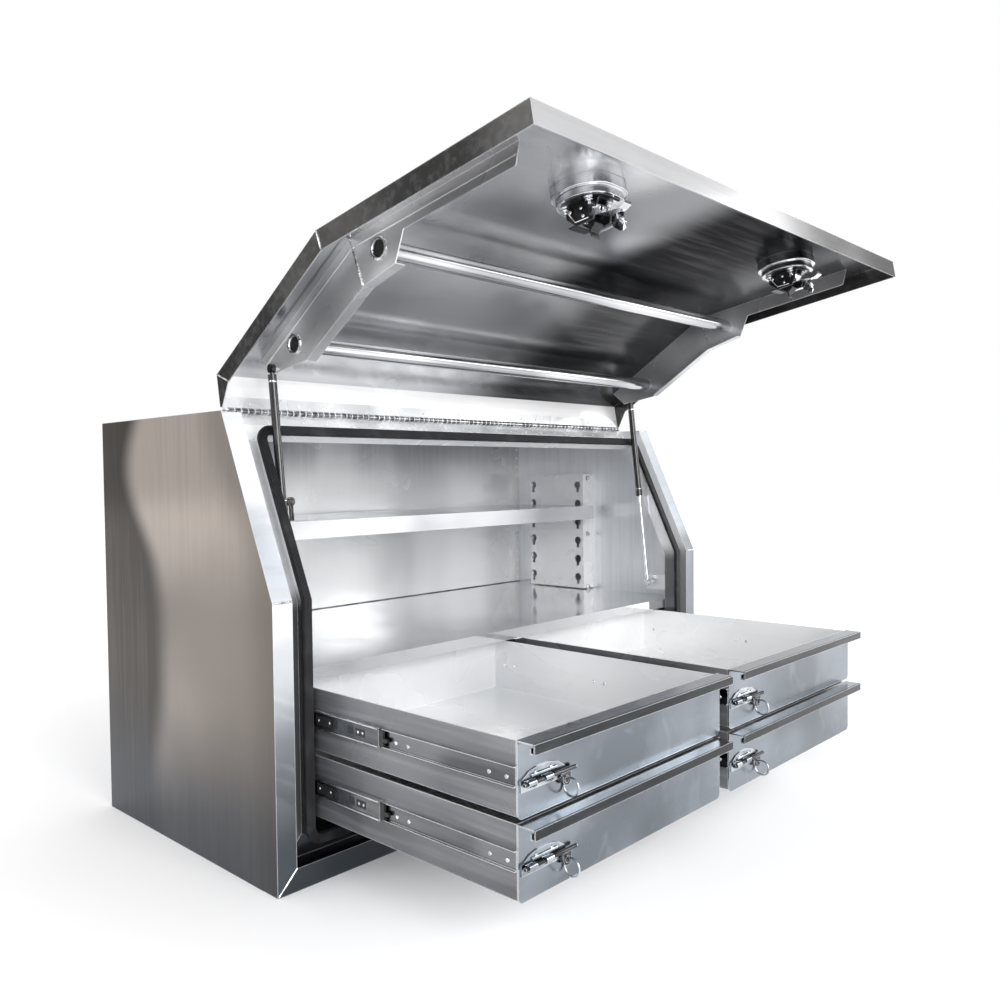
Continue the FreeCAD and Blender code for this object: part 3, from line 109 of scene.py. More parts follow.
class Surface:
    """A procedural finish: a Principled shader and the nodes that vary it."""

    def __init__(self, name):
        self.material = bpy.data.materials.new(name)
        self.start(self.material, "Principled BSDF")
        self.place = self.node("ShaderNodeTexCoord", output="Object")

    def start(self, owner, shader):
        """Take the node tree of a material or world, and its shader."""
        owner.use_nodes = True
        self.tree = owner.node_tree
        self.shader = self.tree.nodes[shader]

    def node(self, kind, settings=None, *values, output=0, **named):
        """Add one node: its settings first, then the values or links of its sockets, in
        their order, where None leaves a socket as it is, or by name."""
        made = self.tree.nodes.new(kind)
        for key, setting in (settings or {}).items():
            setattr(made, key, setting)
        for index, value in enumerate(values):
            if value is not None:
                self.feed(made.inputs[index], value)
        for name, value in named.items():
            self.feed(made.inputs[name.replace("_", " ")], value)
        return Value(self, made.outputs[output])

    def feed(self, socket, value):
        """Link a value to a socket, or set the socket to a number, vector or colour."""
        if isinstance(value, Value):
            self.tree.links.new(value.socket, socket)
        elif socket.type == "RGBA" and len(value) == 3:
            socket.default_value = (*value, 1)
        else:
            socket.default_value = value

    def noise(self, scale, detail=2, stretch=(1, 1, 1), twist=0.0):
        """Soft cloudy variation, scale in patches per metre, stretched along the axes."""
        place = self.node("ShaderNodeMapping", None, Vector=self.place, Scale=stretch)
        return self.node("ShaderNodeTexNoise", None, Vector=place, Scale=scale, Detail=detail,
                         Distortion=twist)

    def band(self, value, low, high, to_low=0, to_high=1):
        """Stretch the part of a value between low and high over a new range, and clip it."""
        return self.node("ShaderNodeMapRange", {"interpolation_type": "SMOOTHSTEP"},
                         value, low, high, to_low, to_high)

    def patch(self, centre, reach):
        """A soft patch: 1 at its centre, 0 at its reach, in metres."""
        away = self.node("ShaderNodeVectorMath", {"operation": "DISTANCE"}, self.place, centre,
                         output="Value")
        return self.band(away, reach, 0)

    def at(self, axis):
        """The place of a point on one axis, in metres."""
        return self.node("ShaderNodeSeparateXYZ", None, self.place, output=axis)

    def slant(self, axis):
        """The share of the surface's normal that runs along one axis of the piece."""
        normal = self.node("ShaderNodeTexCoord", output="Normal")
        return self.node("ShaderNodeSeparateXYZ", None, normal, output=axis)

    def facing(self, axis, low, high):
        """Where the surface faces along an axis of its own: 0 at low, 1 at high."""
        return self.band(self.slant(axis), low, high)

    def near(self, axis, level, reach):
        """Where a point lies within reach of a level on an axis, in metres."""
        return self.band((self.at(axis) - level).size(), reach, reach * 0.8)

    def along(self, axis, low, high):
        """How far a point has come along an axis in metres: 0 at low, 1 at high."""
        return self.band(self.at(axis), low, high)

    def mix(self, mask, colour, other):
        """Blend two colours by a mask. A Mix node's colours are its inputs 6 and 7."""
        return self.node("ShaderNodeMix", {"data_type": "RGBA"}, mask, *[None] * 5, colour, other,
                         output=2)

    def bump(self, height, depth, strength=1.0):
        """Turn a height into surface relief that is at most depth metres deep."""
        return self.node("ShaderNodeBump", None, Height=height, Distance=depth, Strength=strength)

    def finish(self, **inputs):
        """Feed the shader's sockets by name, and give the material."""
        for key, value in inputs.items():
            self.feed(self.shader.inputs[key.replace("_", " ")], value)
        return self.material


class Sky(Surface):
    """The studio round the box: a background shader and the directions that it is seen in."""

    def __init__(self, name):
        self.material = bpy.data.worlds.new(name)
        self.start(self.material, "Background")
        self.place = self.node("ShaderNodeTexCoord", output="Generated")


sky = Sky("studio_sky")
scene.world = sky.material
sky_level = sky.at("Z")
sky_panels = sky.band(sky.noise(1.7, 1, (1, 1, 0.6), 0.5), 0.38, 0.62,
                      SKY_PANEL_DARK, SKY_PANEL_BRIGHT)
sky_roof = sky.band(sky_level, 0.15, 0.75, 1.0, SKY_OVERHEAD)
camera_ray = sky.node("ShaderNodeLightPath", output="Is Camera Ray")
glossy_ray = sky.node("ShaderNodeLightPath", output="Is Glossy Ray")
sky_mirrored = glossy_ray * sky_panels * sky_roof + (1 - glossy_ray) * SKY_LIGHT
sky.finish(Color=WHITE, Strength=camera_ray + (1 - camera_ray) * sky_mirrored)

floor_mesh = bpy.data.meshes.new("floor")
corner = FLOOR_SIZE / 2
floor_mesh.from_pydata(
    [(-corner, -corner, 0), (corner, -corner, 0), (corner, corner, 0), (-corner, corner, 0)],
    [], [(0, 1, 2, 3)],
)
floor = bpy.data.objects.new("floor", floor_mesh)
scene.collection.objects.link(floor)
floor_surface = Surface("white_floor")
floor_far = 1 - floor_surface.patch(FLOOR_MIDDLE, FLOOR_FADE_END)
floor_seen = (floor_surface.node("ShaderNodeLightPath", output="Is Camera Ray")
              + floor_surface.node("ShaderNodeLightPath", output="Is Glossy Ray"))
floor_lift = floor_seen * (floor_far * FLOOR_LIFT_FAR + FLOOR_LIFT_NEAR)
floor_grain = floor_surface.noise(3, 2)
floor_mesh.materials.append(floor_surface.finish(
    Base_Color=floor_surface.mix(floor_grain * 0.2, FLOOR_COLOUR, FLOOR_SHADE), Roughness=1.0,
    Specular_IOR_Level=0.0, Emission_Color=floor_surface.mix(floor_lift, BLACK, WHITE),
    Emission_Strength=1.0,
))


def soft_lamp(name, place, aim, power, size):
    """A large square lamp at a place, turned to face a point."""
    lamp_data = bpy.data.lights.new(name, "AREA")
    lamp_data.energy = power
    lamp_data.size = size
    lamp = bpy.data.objects.new(name, lamp_data)
    lamp.location = place
    lamp.rotation_euler = (Vector(aim) - Vector(place)).to_track_quat("-Z", "Y").to_euler()
    scene.collection.objects.link(lamp)


soft_lamp("key_lamp", (-0.9, -3.5, 1.5), (0, 0.1, 0.55), 96, 2.0)
soft_lamp("side_lamp", (-3.4, 0.2, 2.2), (-0.6, 0, 0.4), 18, 1.6)
soft_lamp("fill_lamp", (2.8, -2.6, 1.8), (0, 0, 0.5), 30, 1.6)

# Side sheets: 2.5 mm mill-finish aluminium, each folded round the door opening into a flange,
# a gutter and a lip for the seal. They are cloudy and warm, with painted highlights on their
# folds and painted reflections and shade on their faces, and the flanges are welded at the
# knee and in the corners.
SIDE_BRIGHT, SIDE_DEEP = (0.40, 0.352, 0.315), (0.215, 0.190, 0.170)
# Painted light on the outsides of the sides: a painted highlight, painted shade and a painted
# blue-grey foot, standing for the room that the sheet mirrors.
SIDE_PAINTED_HIGHLIGHT = (0.62, 0.545, 0.49)
SIDE_PAINTED_SHADE, SIDE_FOOT_PAINTED_SHADE = (0.052, 0.044, 0.038), (0.070, 0.079, 0.092)
FLANGE_BRIGHT, FLANGE_DEEP = (0.90, 0.92, 0.95), (0.54, 0.58, 0.63)
# Painted shade for the door flange's foot and its right upright.
FLANGE_PAINTED_SHADE = (0.060, 0.072, 0.086)
GUTTER_SLOPE, GUTTER_PAINTED_SHADE = (0.85, 0.86, 0.88), (0.14, 0.145, 0.155)
EDGE_PAINTED_HIGHLIGHT = (0.97, 0.97, 0.98)
EDGE_WIDTH = 0.0022
BOX_HALF, KNEE, SETBACK, BOX_TOP, BOX_FRONT = 650, 475, 142, 790, 300
FLANGE = 38
FLANGE_EDGE = (BOX_HALF - FLANGE) / 1000


def edge_light(surface, width=EDGE_WIDTH):
    """Painted highlight where a fold or cut edge catches the light: 1 on the edge, 0 on the flat.
    """
    flat = surface.node("ShaderNodeNewGeometry", output="Normal")
    rounded = surface.node("ShaderNodeBevel", {"samples": 4}, width)
    along = surface.node("ShaderNodeVectorMath", {"operation": "DOT_PRODUCT"}, flat, rounded,
                         output="Value")
    return surface.band(along, 0.995, 0.86)


def sheet_metal(name, bright, deep, rough, cloud=2.0, grain=(1, 1, 9), metal=1.0, twist=0.4,
                wave=0.2, edge=0.75, tint=None, glance=(1, 1, 1, 1)):
    """Rolled sheet: cloudy tone, long rolling lines, soft smears and painted highlights on its
    edges. The tint is a function that recolours parts of it, often with painted light and shade,
    and metal may be one too; glance colours what it mirrors at a shallow angle."""
    surface = Surface(name)
    clouds = surface.band(surface.noise(cloud, 1.2, twist=twist), 0.34, 0.66)
    lines = surface.noise(7, 3, stretch=grain)
    smears = surface.band(surface.noise(cloud * 2.2, 1, twist=0.8), 0.45, 0.72)
    colour = surface.mix(clouds, deep, bright)
    if tint:
        colour = tint(surface, colour)
    colour = surface.mix(surface.band(lines, 0.42, 0.70) * 0.12, colour, deep)
    # Painted highlight along the folds and cut edges.
    if edge:
        colour = surface.mix(edge_light(surface) * edge, colour, EDGE_PAINTED_HIGHLIGHT)
    surface.finish(
        Base_Color=colour, Metallic=metal(surface) if callable(metal) else metal,
        Roughness=smears * 0.10 + rough, Specular_Tint=glance,
        Normal=surface.bump(surface.noise(2.6, 0.5), 0.012, wave),
    )
    return surface


def dress(surface, *names):
    """Give CAD nodes a finish."""
    for name in names:
        for slot in nodes[name].material_slots:
            slot.material = surface.material


def inner_face(surface):
    """1 on the faces of a side sheet that look into the box."""
    return surface.band(surface.at("X") * surface.slant("X"), -0.3, -0.5)


def outside_painted_reflection(surface, colour):
    """Painted reflections outside: a side is painted bright near its top, with a dark painted
    wave down its back, a blue-grey painted foot and a darker painted strip before the bend."""
    back = surface.at("Y")
    colour = surface.mix(surface.along("Z", 0.42, 0.74) * 0.85, colour, SIDE_PAINTED_HIGHLIGHT)
    wave = back + surface.noise(2.1, 0.5, (0, 0, 1)) * 0.55 - 0.275
    colour = surface.mix(surface.band(wave, 0.035, 0.115), colour, SIDE_PAINTED_SHADE)
    colour = surface.mix(surface.along("Z", 0.30, 0.04) * 0.92, colour, SIDE_FOOT_PAINTED_SHADE)
    lean = surface.along("Z", KNEE / 1000, BOX_TOP / 1000) * 0.15
    return surface.mix(surface.band(back - lean, -0.20, -0.30) * 0.35, colour, SIDE_PAINTED_SHADE)


def flange_tint(surface):
    """The door flange is pale and cloudy, with painted shade that darkens it to its foot and on
    the right upright.
    """
    clouds = surface.band(surface.noise(3.4, 1.5), 0.35, 0.65)
    pale = surface.mix(clouds, FLANGE_DEEP, FLANGE_BRIGHT)
    pale = surface.mix(surface.along("Z", 0.46, 0.06), pale, FLANGE_PAINTED_SHADE)
    right_upright = surface.along("X", 0, 0.1) * surface.along("Z", 0.54, 0.50)
    return surface.mix(right_upright * 0.6, pale, FLANGE_PAINTED_SHADE)


def side_tint(surface, colour):
    """The tones of a side sheet, with painted light and shade: outside, inside, door flange and
    the gutter inboard of it.
    """
    colour = outside_painted_reflection(surface, colour)
    colour = surface.mix(inner_face(surface), colour, FLANGE_BRIGHT)
    colour = surface.mix(surface.facing("Y", -0.5, -0.8), colour, flange_tint(surface))
    inboard = surface.band(surface.at("X").size(), FLANGE_EDGE + 0.0005, FLANGE_EDGE - 0.0005)
    # Up the sides the gutter is painted dark as painted shade in its recess; on the slope it is
    # pale.
    gutter = surface.mix(surface.along("Z", 0.45, 0.50), GUTTER_PAINTED_SHADE, GUTTER_SLOPE)
    return surface.mix(inboard, colour, gutter)


def side_gloss(surface):
    """The flange and the inside are duller than the mirror-like outside."""
    return 1 - surface.facing("Y", -0.5, -0.8) * 0.65 - inner_face(surface) * 0.6


side_finish = sheet_metal("side_sheet", SIDE_BRIGHT, SIDE_DEEP, 0.16, cloud=1.9,
                          grain=(1, 16, 0.5), metal=side_gloss, twist=0.8, tint=side_tint)
dress(side_finish, "left_side_panel", "right_side_panel")

ROW = Matrix.Translation((0, -BOX_FRONT / 1000, 0)) @ Matrix.Scale(0.001, 4)


class Shape:
    """A mesh in the making, in millimetres from the box's front: turned, bent and cut parts."""

    def __init__(self):
        self.mesh = bmesh.new()

    def skin(self, rings, closed=False):
        """Join rings of as many points each into a skin, and cap its ends."""
        rows = [[self.mesh.verts.new(point) for point in ring] for ring in rings]
        pairs = list(zip(rows, rows[1:]))
        if closed:
            pairs.append((rows[-1], rows[0]))
        for low, high in pairs:
            for index in range(len(low)):
                after = (index + 1) % len(low)
                self.mesh.faces.new((low[index], low[after], high[after], high[index]))
        if not closed:
            self.mesh.faces.new(rows[0][::-1])
            self.mesh.faces.new(rows[-1])
        return self

    def turn(self, place, axis, profile, sides=20, start=0.0):
        """A part turned on a lathe: profile lists (radius, distance along the axis)."""
        basis = Vector(axis).to_track_quat("Z", "Y").to_matrix()
        rings = []
        for radius, along in profile:
            ring = []
            for step in range(sides):
                angle = start + math.tau * step / sides
                spoke = (radius * math.cos(angle), radius * math.sin(angle), along)
                ring.append(Vector(place) + basis @ Vector(spoke))
            rings.append(ring)
        return self.skin(rings)

    def rod(self, points, radius, sides=10, closed=False, swell=None):
        """A round bar or weld along points; swell gives each point's share of the radius."""
        points = [Vector(point) for point in points]
        count = len(points)
        rings, across = [], None
        for index, point in enumerate(points):
            before = points[(index - 1) % count] if closed or index else point
            after = points[(index + 1) % count] if closed or index < count - 1 else point
            along = (after - before).normalized()
            if across is None:
                across = along.orthogonal().normalized()
            across = (across - along * across.dot(along)).normalized()
            beside = along.cross(across)
            size = radius * (swell(index) if swell else 1)
            rings.append([
                point + size * (across * math.cos(math.tau * step / sides)
                                + beside * math.sin(math.tau * step / sides))
                for step in range(sides)
            ])
        return self.skin(rings, closed)

    def prism(self, axis, start, end, outline):
        """A flat part: an outline in the two other axes, in order, drawn out along one."""
        rings = []
        for level in (start, end):
            ring = []
            for first, second in outline:
                point = [first, second]
                point.insert("XYZ".index(axis), level)
                ring.append(point)
            rings.append(ring)
        return self.skin(rings)

    def block(self, low, high):
        """A straight block between two corners."""
        outline = [(low[0], low[1]), (high[0], low[1]), (high[0], high[1]), (low[0], high[1])]
        return self.prism("Z", low[2], high[2], outline)

    def dome(self, place, axis, radius, rise, sides=14):
        """A rivet or pan head, flat below and domed above."""
        profile = [(radius, 0), (radius, rise * 0.25)]
        for step in range(1, 5):
            turn = math.pi / 2 * step / 4.4
            profile.append((radius * math.cos(turn), rise * (0.25 + 0.75 * math.sin(turn))))
        return self.turn(place, axis, profile, sides)

    def weld(self, points, radius, pitch=1.6):
        """A weld bead between points, with the ripples that the torch leaves."""
        path = []
        for start, end in zip(points, points[1:]):
            start, end = Vector(start), Vector(end)
            steps = max(2, round((end - start).length / pitch))
            path += [start.lerp(end, step / steps) for step in range(steps)]
        path.append(Vector(points[-1]))
        return self.rod(path, radius, 8, swell=lambda index: 0.86 + 0.2 * (index % 3) / 2)


def piece(name, body, surface, shape, frame_turn=ROW):
    """Make a shape into an object that rides on a body, with smooth curves and sharp edges."""
    mesh = bpy.data.meshes.new(name)
    bmesh.ops.recalc_face_normals(shape.mesh, faces=shape.mesh.faces[:])
    shape.mesh.to_mesh(mesh)
    shape.mesh.free()
    mesh.transform(frame_turn)
    mesh.polygons.foreach_set("use_smooth", [True] * len(mesh.polygons))
    mesh.set_sharp_from_angle(angle=math.radians(38))
    mesh.materials.append(surface.material)
    made = bpy.data.objects.new(name, mesh)
    scene.collection.objects.link(made)
    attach(made, body)
    return made


WELD_RADIUS, WELD_DEEP = 1.8, 0.4
weld_finish = sheet_metal("weld_bead", (0.84, 0.84, 0.86), (0.36, 0.36, 0.38), 0.26, 90,
                          (1, 1, 1), edge=0)
frame_welds = Shape()
for side in (-1, 1):
    outer, inner = (BOX_HALF - 2) * side, (BOX_HALF - FLANGE) * side
    frame_welds.weld([(outer, WELD_DEEP, KNEE), (inner, WELD_DEEP, KNEE)], WELD_RADIUS)
    frame_welds.weld([(outer, WELD_DEEP, 2), (inner, WELD_DEEP, FLANGE)], WELD_RADIUS)
    frame_welds.weld([(outer, SETBACK, BOX_TOP - 1), (inner, SETBACK, BOX_TOP - 1)], WELD_RADIUS)
piece("frame_welds", "box", weld_finish, frame_welds)

# Box shell: the floor and sill, the rear sheet, the top and the folded header, all bright
# mill-finish aluminium, with the floor and sill painted dark as painted shade under the
# drawers. The rear sheet is spot welded to the sides down its corners.
shell_finish = sheet_metal("shell_sheet", (0.90, 0.91, 0.93), (0.70, 0.715, 0.74), 0.2,
                           grain=(0.5, 12, 12), metal=0.7)
# The floor and sill are coloured dark: painted shade under the drawers.
sill_painted_shade = sheet_metal("sill_sheet", (0.20, 0.218, 0.24), (0.075, 0.083, 0.094), 0.2,
                          grain=(0.5, 12, 12))
header_finish = sheet_metal("header_sheet", (0.97, 0.97, 0.98), (0.84, 0.85, 0.87), 0.25,
                            grain=(0.5, 12, 12), metal=0.25)
dress(shell_finish, "top_panel")
dress(header_finish, "header_panel")
dress(sill_painted_shade, "base_panel")


# Colours of the rear sheet's painted reflection and painted shade.
REAR_REFLECTED_STREAK, REAR_SHADE = (0.66, 0.67, 0.685), (0.30, 0.305, 0.32)


def rear_painted_reflection(surface, colour):
    """Painted reflection of the lid: the rear sheet is painted grey under the top and darker at
    its upper left, with tall soft painted streaks below.
    """
    streaks = surface.band(surface.noise(3.6, 1, (1, 1, 0.3), 0.3), 0.42, 0.66)
    colour = surface.mix(streaks * 0.55, colour, REAR_REFLECTED_STREAK)
    bright = surface.band(surface.noise(5.2, 0.5, (1, 1, 0.35)), 0.55, 0.7)
    shade = surface.along("Z", 0.60, 0.77) * (1 - bright * 0.7)
    left = surface.along("Z", 0.56, 0.66) * surface.along("X", -0.1, -0.5)
    return surface.mix(shade * 0.8 + left * 0.3, colour, REAR_SHADE)


rear_finish = sheet_metal("rear_sheet", (0.97, 0.97, 0.98), (0.86, 0.87, 0.88), 0.2, cloud=2.6,
                          grain=(12, 1, 0.5), metal=0.4, tint=rear_painted_reflection)
inner_finish = sheet_metal("inner_sheet", (0.96, 0.96, 0.97), (0.76, 0.77, 0.785), 0.23,
                           cloud=2.6, grain=(1, 12, 0.5), metal=0.3, twist=0.5)
dress(rear_finish, "back_panel")

REAR_INSIDE, FLOOR_LEVEL = 597.5, 350
SPOT_FOOT, SPOT_TOP, SPOT_PITCH = 362, 770, 26
SPOT_RADIUS, SPOT_RISE, SPOT_INSET = 3.2, 0.5, 12
SEAM_RADIUS, SEAM_PITCH, SEAM_INSET = 1.3, 4, 4
spots = Shape()
for side in (-1, 1):
    for level in range(SPOT_FOOT, SPOT_TOP, SPOT_PITCH):
        spots.dome(((BOX_HALF - SPOT_INSET) * side, REAR_INSIDE, level), (0, -1, 0),
                   SPOT_RADIUS, SPOT_RISE, 10)
piece("rear_spot_welds", "box", inner_finish, spots)
# The seam along the rear corner of the floor is coloured dark: painted shade in the corner.
seam_finish = sheet_metal("seam_shade", (0.30, 0.305, 0.315), (0.12, 0.122, 0.128), 0.4, 20,
                          (1, 1, 1), edge=0)
seam_end, seam_back = BOX_HALF - SEAM_INSET, REAR_INSIDE - 0.9
seam = Shape().weld([(-seam_end, seam_back, FLOOR_LEVEL), (seam_end, seam_back, FLOOR_LEVEL)],
                    SEAM_RADIUS, SEAM_PITCH)
piece("rear_floor_seam", "box", seam_finish, seam)

# Door seal: a black rubber section with fine ribs, pushed over the lip all round the opening.
# It follows the door frame, bent back at the knee and round in the corners.
SLOPE_LENGTH = math.hypot(SETBACK, BOX_TOP - KNEE)
SLOPE_BACK, SLOPE_UP = SETBACK / SLOPE_LENGTH, (BOX_TOP - KNEE) / SLOPE_LENGTH
KNEE_MITRE = (1 - SLOPE_UP) / SLOPE_BACK
SEAL_LINE, SEAL_HALF, SEAL_NOSE, SEAL_TAIL = 71.2, 8.7, 2.0, 10.0
HEADER_LIP, SEAL_OVER_LIP = 37, 5.8
SEAL_TOP = KNEE + SLOPE_LENGTH - HEADER_LIP + SEAL_OVER_LIP
SEAL_CORNER = 22
RIB_COUNT, RIB_START, RIB_PITCH, RIB_HEIGHT = 11, 6.5, 1.3, 0.9


def on_frame(across, up, deep):
    """A place on the door frame: millimetres along the sill, up its face and in from it."""
    if up == KNEE:
        return (across, deep, KNEE - deep * KNEE_MITRE)
    if up < KNEE:
        return (across, deep, up)
    climb = up - KNEE
    return (across, climb * SLOPE_BACK + deep * SLOPE_UP,
            KNEE + climb * SLOPE_UP - deep * SLOPE_BACK)


seal_half = BOX_HALF - SEAL_LINE
seal_path = []
for side_x, side_z, first in ((1, 0, 270), (1, 1, 0), (-1, 1, 90), (-1, 0, 180)):
    centre_x = (seal_half - SEAL_CORNER) * side_x
    centre_z = SEAL_TOP - SEAL_CORNER if side_z else SEAL_LINE + SEAL_CORNER
    for step in range(9):
        angle = math.radians(first + 90 * step / 8)
        out = (math.cos(angle), math.sin(angle))
        seal_path.append((centre_x + SEAL_CORNER * out[0], centre_z + SEAL_CORNER * out[1], out))
    if (side_x, side_z) in ((1, 0), (-1, 1)):
        seal_path.append((seal_half * side_x, KNEE, (side_x, 0)))
seal_section = [(SEAL_HALF, SEAL_TAIL), (SEAL_HALF, 7.6), (7.9, 7.0), (SEAL_HALF, 6.4),
                (SEAL_HALF, 5.2), (7.9, 4.6), (8.4, 4.0), (7.6, 2.8)]
for step in range(RIB_COUNT):
    seal_section.append((RIB_START - RIB_PITCH * step, SEAL_NOSE + RIB_HEIGHT * (step % 2)))
seal_section += [(-7.6, 2.8), (-8.4, 4.0), (-SEAL_HALF, 5.2), (-SEAL_HALF, SEAL_TAIL)]
seal_shape = Shape().skin([
    [on_frame(across + reach * out[0], up + reach * out[1] if up != KNEE else KNEE, deep)
     for reach, deep in seal_section]
    for across, up, out in seal_path
], closed=True)
RUBBER_BLACK, RUBBER_DUSTY = (0.008, 0.008, 0.010), (0.030, 0.031, 0.034)
rubber = Surface("seal_rubber")
rubber_dust = rubber.band(rubber.noise(30, 3), 0.45, 0.75)
rubber.finish(
    Base_Color=rubber.mix(rubber_dust, RUBBER_BLACK, RUBBER_DUSTY),
    Specular_IOR_Level=0.28, Roughness=rubber_dust * 0.15 + 0.40,
    Normal=rubber.bump(rubber.noise(320, 2), 0.0003, 0.4),
)
seal = piece("ribbed_door_seal", "box", rubber, seal_shape)
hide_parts("door_seal")

# Piano hinge: two stainless leaves riveted to the header and to the lid, with rolled knuckles
# that alternate on one long pin.
HINGE_BACK, HINGE_UP = 203.5, 795.5
KNUCKLE_PITCH, KNUCKLE_LENGTH, KNUCKLE_RADIUS, KNUCKLE_CHAMFER = 14, 12.8, 5.7, 0.6
RIVET_COUNT, RIVET_PITCH, RIVET_INSET, RIVET_RADIUS, RIVET_RISE = 22, 54, 99, 2.8, 1.2
HEADER_FOLD, LEAF_DOWN, LEAF_THICK = (206, BOX_TOP), 17, 1.5
LID_LEAF_RIVETS = (189, 797.3)
LID_OPEN = math.radians(-99.73)
hinge_place = Vector((0, HINGE_BACK, HINGE_UP))
LID = (ROW @ Matrix.Translation(hinge_place) @ Matrix.Rotation(LID_OPEN, 4, "X")
       @ Matrix.Translation(-hinge_place))
hinge_finish = sheet_metal("hinge_steel", (0.92, 0.93, 0.95), (0.66, 0.67, 0.69), 0.25, 9,
                           (0.5, 8, 8), metal=0.35)
# The knuckles and the pin are coloured dark: painted shade along the knuckle row and in the gaps
# between knuckles.
knuckle_finish = sheet_metal("knuckle_steel", (0.50, 0.505, 0.52), (0.13, 0.132, 0.138), 0.2, 60,
                             (1, 1, 1))
dress(hinge_finish, "box_hinge_leaf", "lid_hinge_leaf")
dress(knuckle_finish, "hinge_pin")
hinge_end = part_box("box_hinge_leaf")[1][0] * 1000
box_knuckles, lid_knuckles = Shape(), Shape()
knuckle_count = int(2 * hinge_end // KNUCKLE_PITCH)
for step in range(knuckle_count):
    start = KNUCKLE_PITCH * (step - knuckle_count / 2) + KNUCKLE_CHAMFER
    knuckles = (box_knuckles, lid_knuckles)[step % 2]
    knuckles.turn((start, HINGE_BACK, HINGE_UP), (1, 0, 0), [
        (KNUCKLE_RADIUS - KNUCKLE_CHAMFER, 0), (KNUCKLE_RADIUS, KNUCKLE_CHAMFER),
        (KNUCKLE_RADIUS, KNUCKLE_LENGTH - KNUCKLE_CHAMFER),
        (KNUCKLE_RADIUS - KNUCKLE_CHAMFER, KNUCKLE_LENGTH),
    ], 14)
header_down = Vector((0, -0.684, -0.729))
header_out = Vector((0, -0.729, 0.684))
header_rivets, lid_rivets = Shape(), Shape()
for step in range(RIVET_COUNT):
    across = RIVET_INSET - BOX_HALF + RIVET_PITCH * step
    place = Vector((across, *HEADER_FOLD)) + header_down * LEAF_DOWN + header_out * LEAF_THICK
    header_rivets.dome(place, header_out, RIVET_RADIUS, RIVET_RISE)
    lid_rivets.dome((across, *LID_LEAF_RIVETS), (0, 0, -1), RIVET_RADIUS, RIVET_RISE)
piece("box_hinge_knuckles", "box", knuckle_finish, box_knuckles)
piece("lid_hinge_knuckles", "lid", knuckle_finish, lid_knuckles, LID)
piece("header_rivets", "box", hinge_finish, header_rivets)
piece("lid_leaf_rivets", "lid", hinge_finish, lid_rivets, LID)

# Lid: one sheet folded at the knee and the brow, with a return rim round it, a stiffening
# plate inside each end and two welded cross tubes. Beads of weld join the rim at its folds,
# the plates at their knee and the tubes to the plates.
LID_FRONT, LID_KNEE, LID_RIM, LID_HALF = -3.9, 474.3, 34, 610.5
LID_MITRE = 0.2078
LID_BROW, BROW_WELD_UP = (138, 800.9), 799
PLATE_PLACE, PLATE_FLANGE, PLATE_DEEP, FOLD_THICK = 545, 20, 85, 1.6
PLATE_ARM = (75, 378)
PLATE_SLOPE_DOWN, RIDGE_DOWN = 156, 60
RIDGE_DEEP, RIDGE_RADIUS, RIDGE_FOOT, RIDGE_KNEE = 18, 1.7, 124, 380
TUBES = ((37, 410), (119, 651))
TUBE_BORE, TUBE_WELD_RADIUS, TUBE_WELD, PLUG_SUNK = 13, 16.6, 2.6, 3.5
# Colours of the lid's painted reflections on its rim, skin and brow.
RIM_BRIGHT, RIM_DEEP, RIM_FOOT = (0.15, 0.147, 0.144), (0.060, 0.058, 0.057), (0.72, 0.72, 0.73)
SKIN_REFLECTED_GREY, SKIN_SHADE = (0.42, 0.425, 0.44), (0.018, 0.018, 0.020)
BROW_WHITE = (0.98, 0.98, 0.98)


def lid_painted_reflections(surface, colour):
    """Painted reflections: inside, the skin is painted darker to the right as if it mirrors the
    room, and grey on its slope. The rim is painted brown-grey at its ends, pale at its foot and
    almost white at its brow."""
    front, slope = surface.facing("Z", -0.8, -0.9), surface.facing("Z", -0.5, -0.6)
    shade = (front * (surface.along("X", -0.13, 0.02) - surface.along("X", 0.22, 0.50) * 0.5)
             + (slope - front) * surface.along("X", -0.05, 0.18))
    colour = surface.mix((slope - front) * 0.4, colour, SKIN_REFLECTED_GREY)
    colour = surface.mix(shade * 0.9, colour, SKIN_SHADE)
    ends = surface.mix(surface.band(surface.noise(4, 1.5), 0.35, 0.65), RIM_DEEP, RIM_BRIGHT)
    foot = surface.mix(surface.along("X", -0.25, 0.35) * 0.7, RIM_FOOT, RIM_DEEP)
    foot = surface.mix(surface.along("Y", -0.5, -0.35), foot, BROW_WHITE)
    colour = surface.mix(surface.facing("X", -0.7, -0.9) + surface.facing("X", 0.7, 0.9),
                         colour, ends)
    return surface.mix(surface.facing("Y", -0.8, -0.95), colour, foot)


def lid_gloss(surface):
    """The strip behind the brow is duller than the mirror-like skin."""
    return 0.92 - surface.facing("Y", -0.8, -0.95) * surface.along("Y", -0.5, -0.35) * 0.75


def plate_painted_reflection(surface, colour):
    """Painted reflection: the front arms of the stiffening plates are painted dark as they mirror
    the dark ground.
    """
    return surface.mix(surface.along("Y", -0.42, -0.62) * 0.75, colour, RIM_BRIGHT)


lid_finish = sheet_metal("lid_sheet", (0.95, 0.955, 0.965), (0.44, 0.445, 0.46), 0.18,
                         cloud=2.3, grain=(0.6, 12, 12), twist=0.8, metal=lid_gloss,
                         tint=lid_painted_reflections, glance=(0.3, 0.3, 0.3, 1))
plate_finish = sheet_metal("lid_plate_sheet", (0.76, 0.765, 0.78), (0.30, 0.305, 0.32), 0.24,
                           cloud=3.4, grain=(1, 6, 6), metal=0.5, tint=plate_painted_reflection)
tube_finish = sheet_metal("lid_tube", (0.74, 0.74, 0.76), (0.40, 0.405, 0.42), 0.16, 3,
                          (1, 9, 9), edge=0)
dress(lid_finish, "lid_shell")
dress(plate_finish, "lid_side_plates")
dress(tube_finish, "lid_cross_tubes")


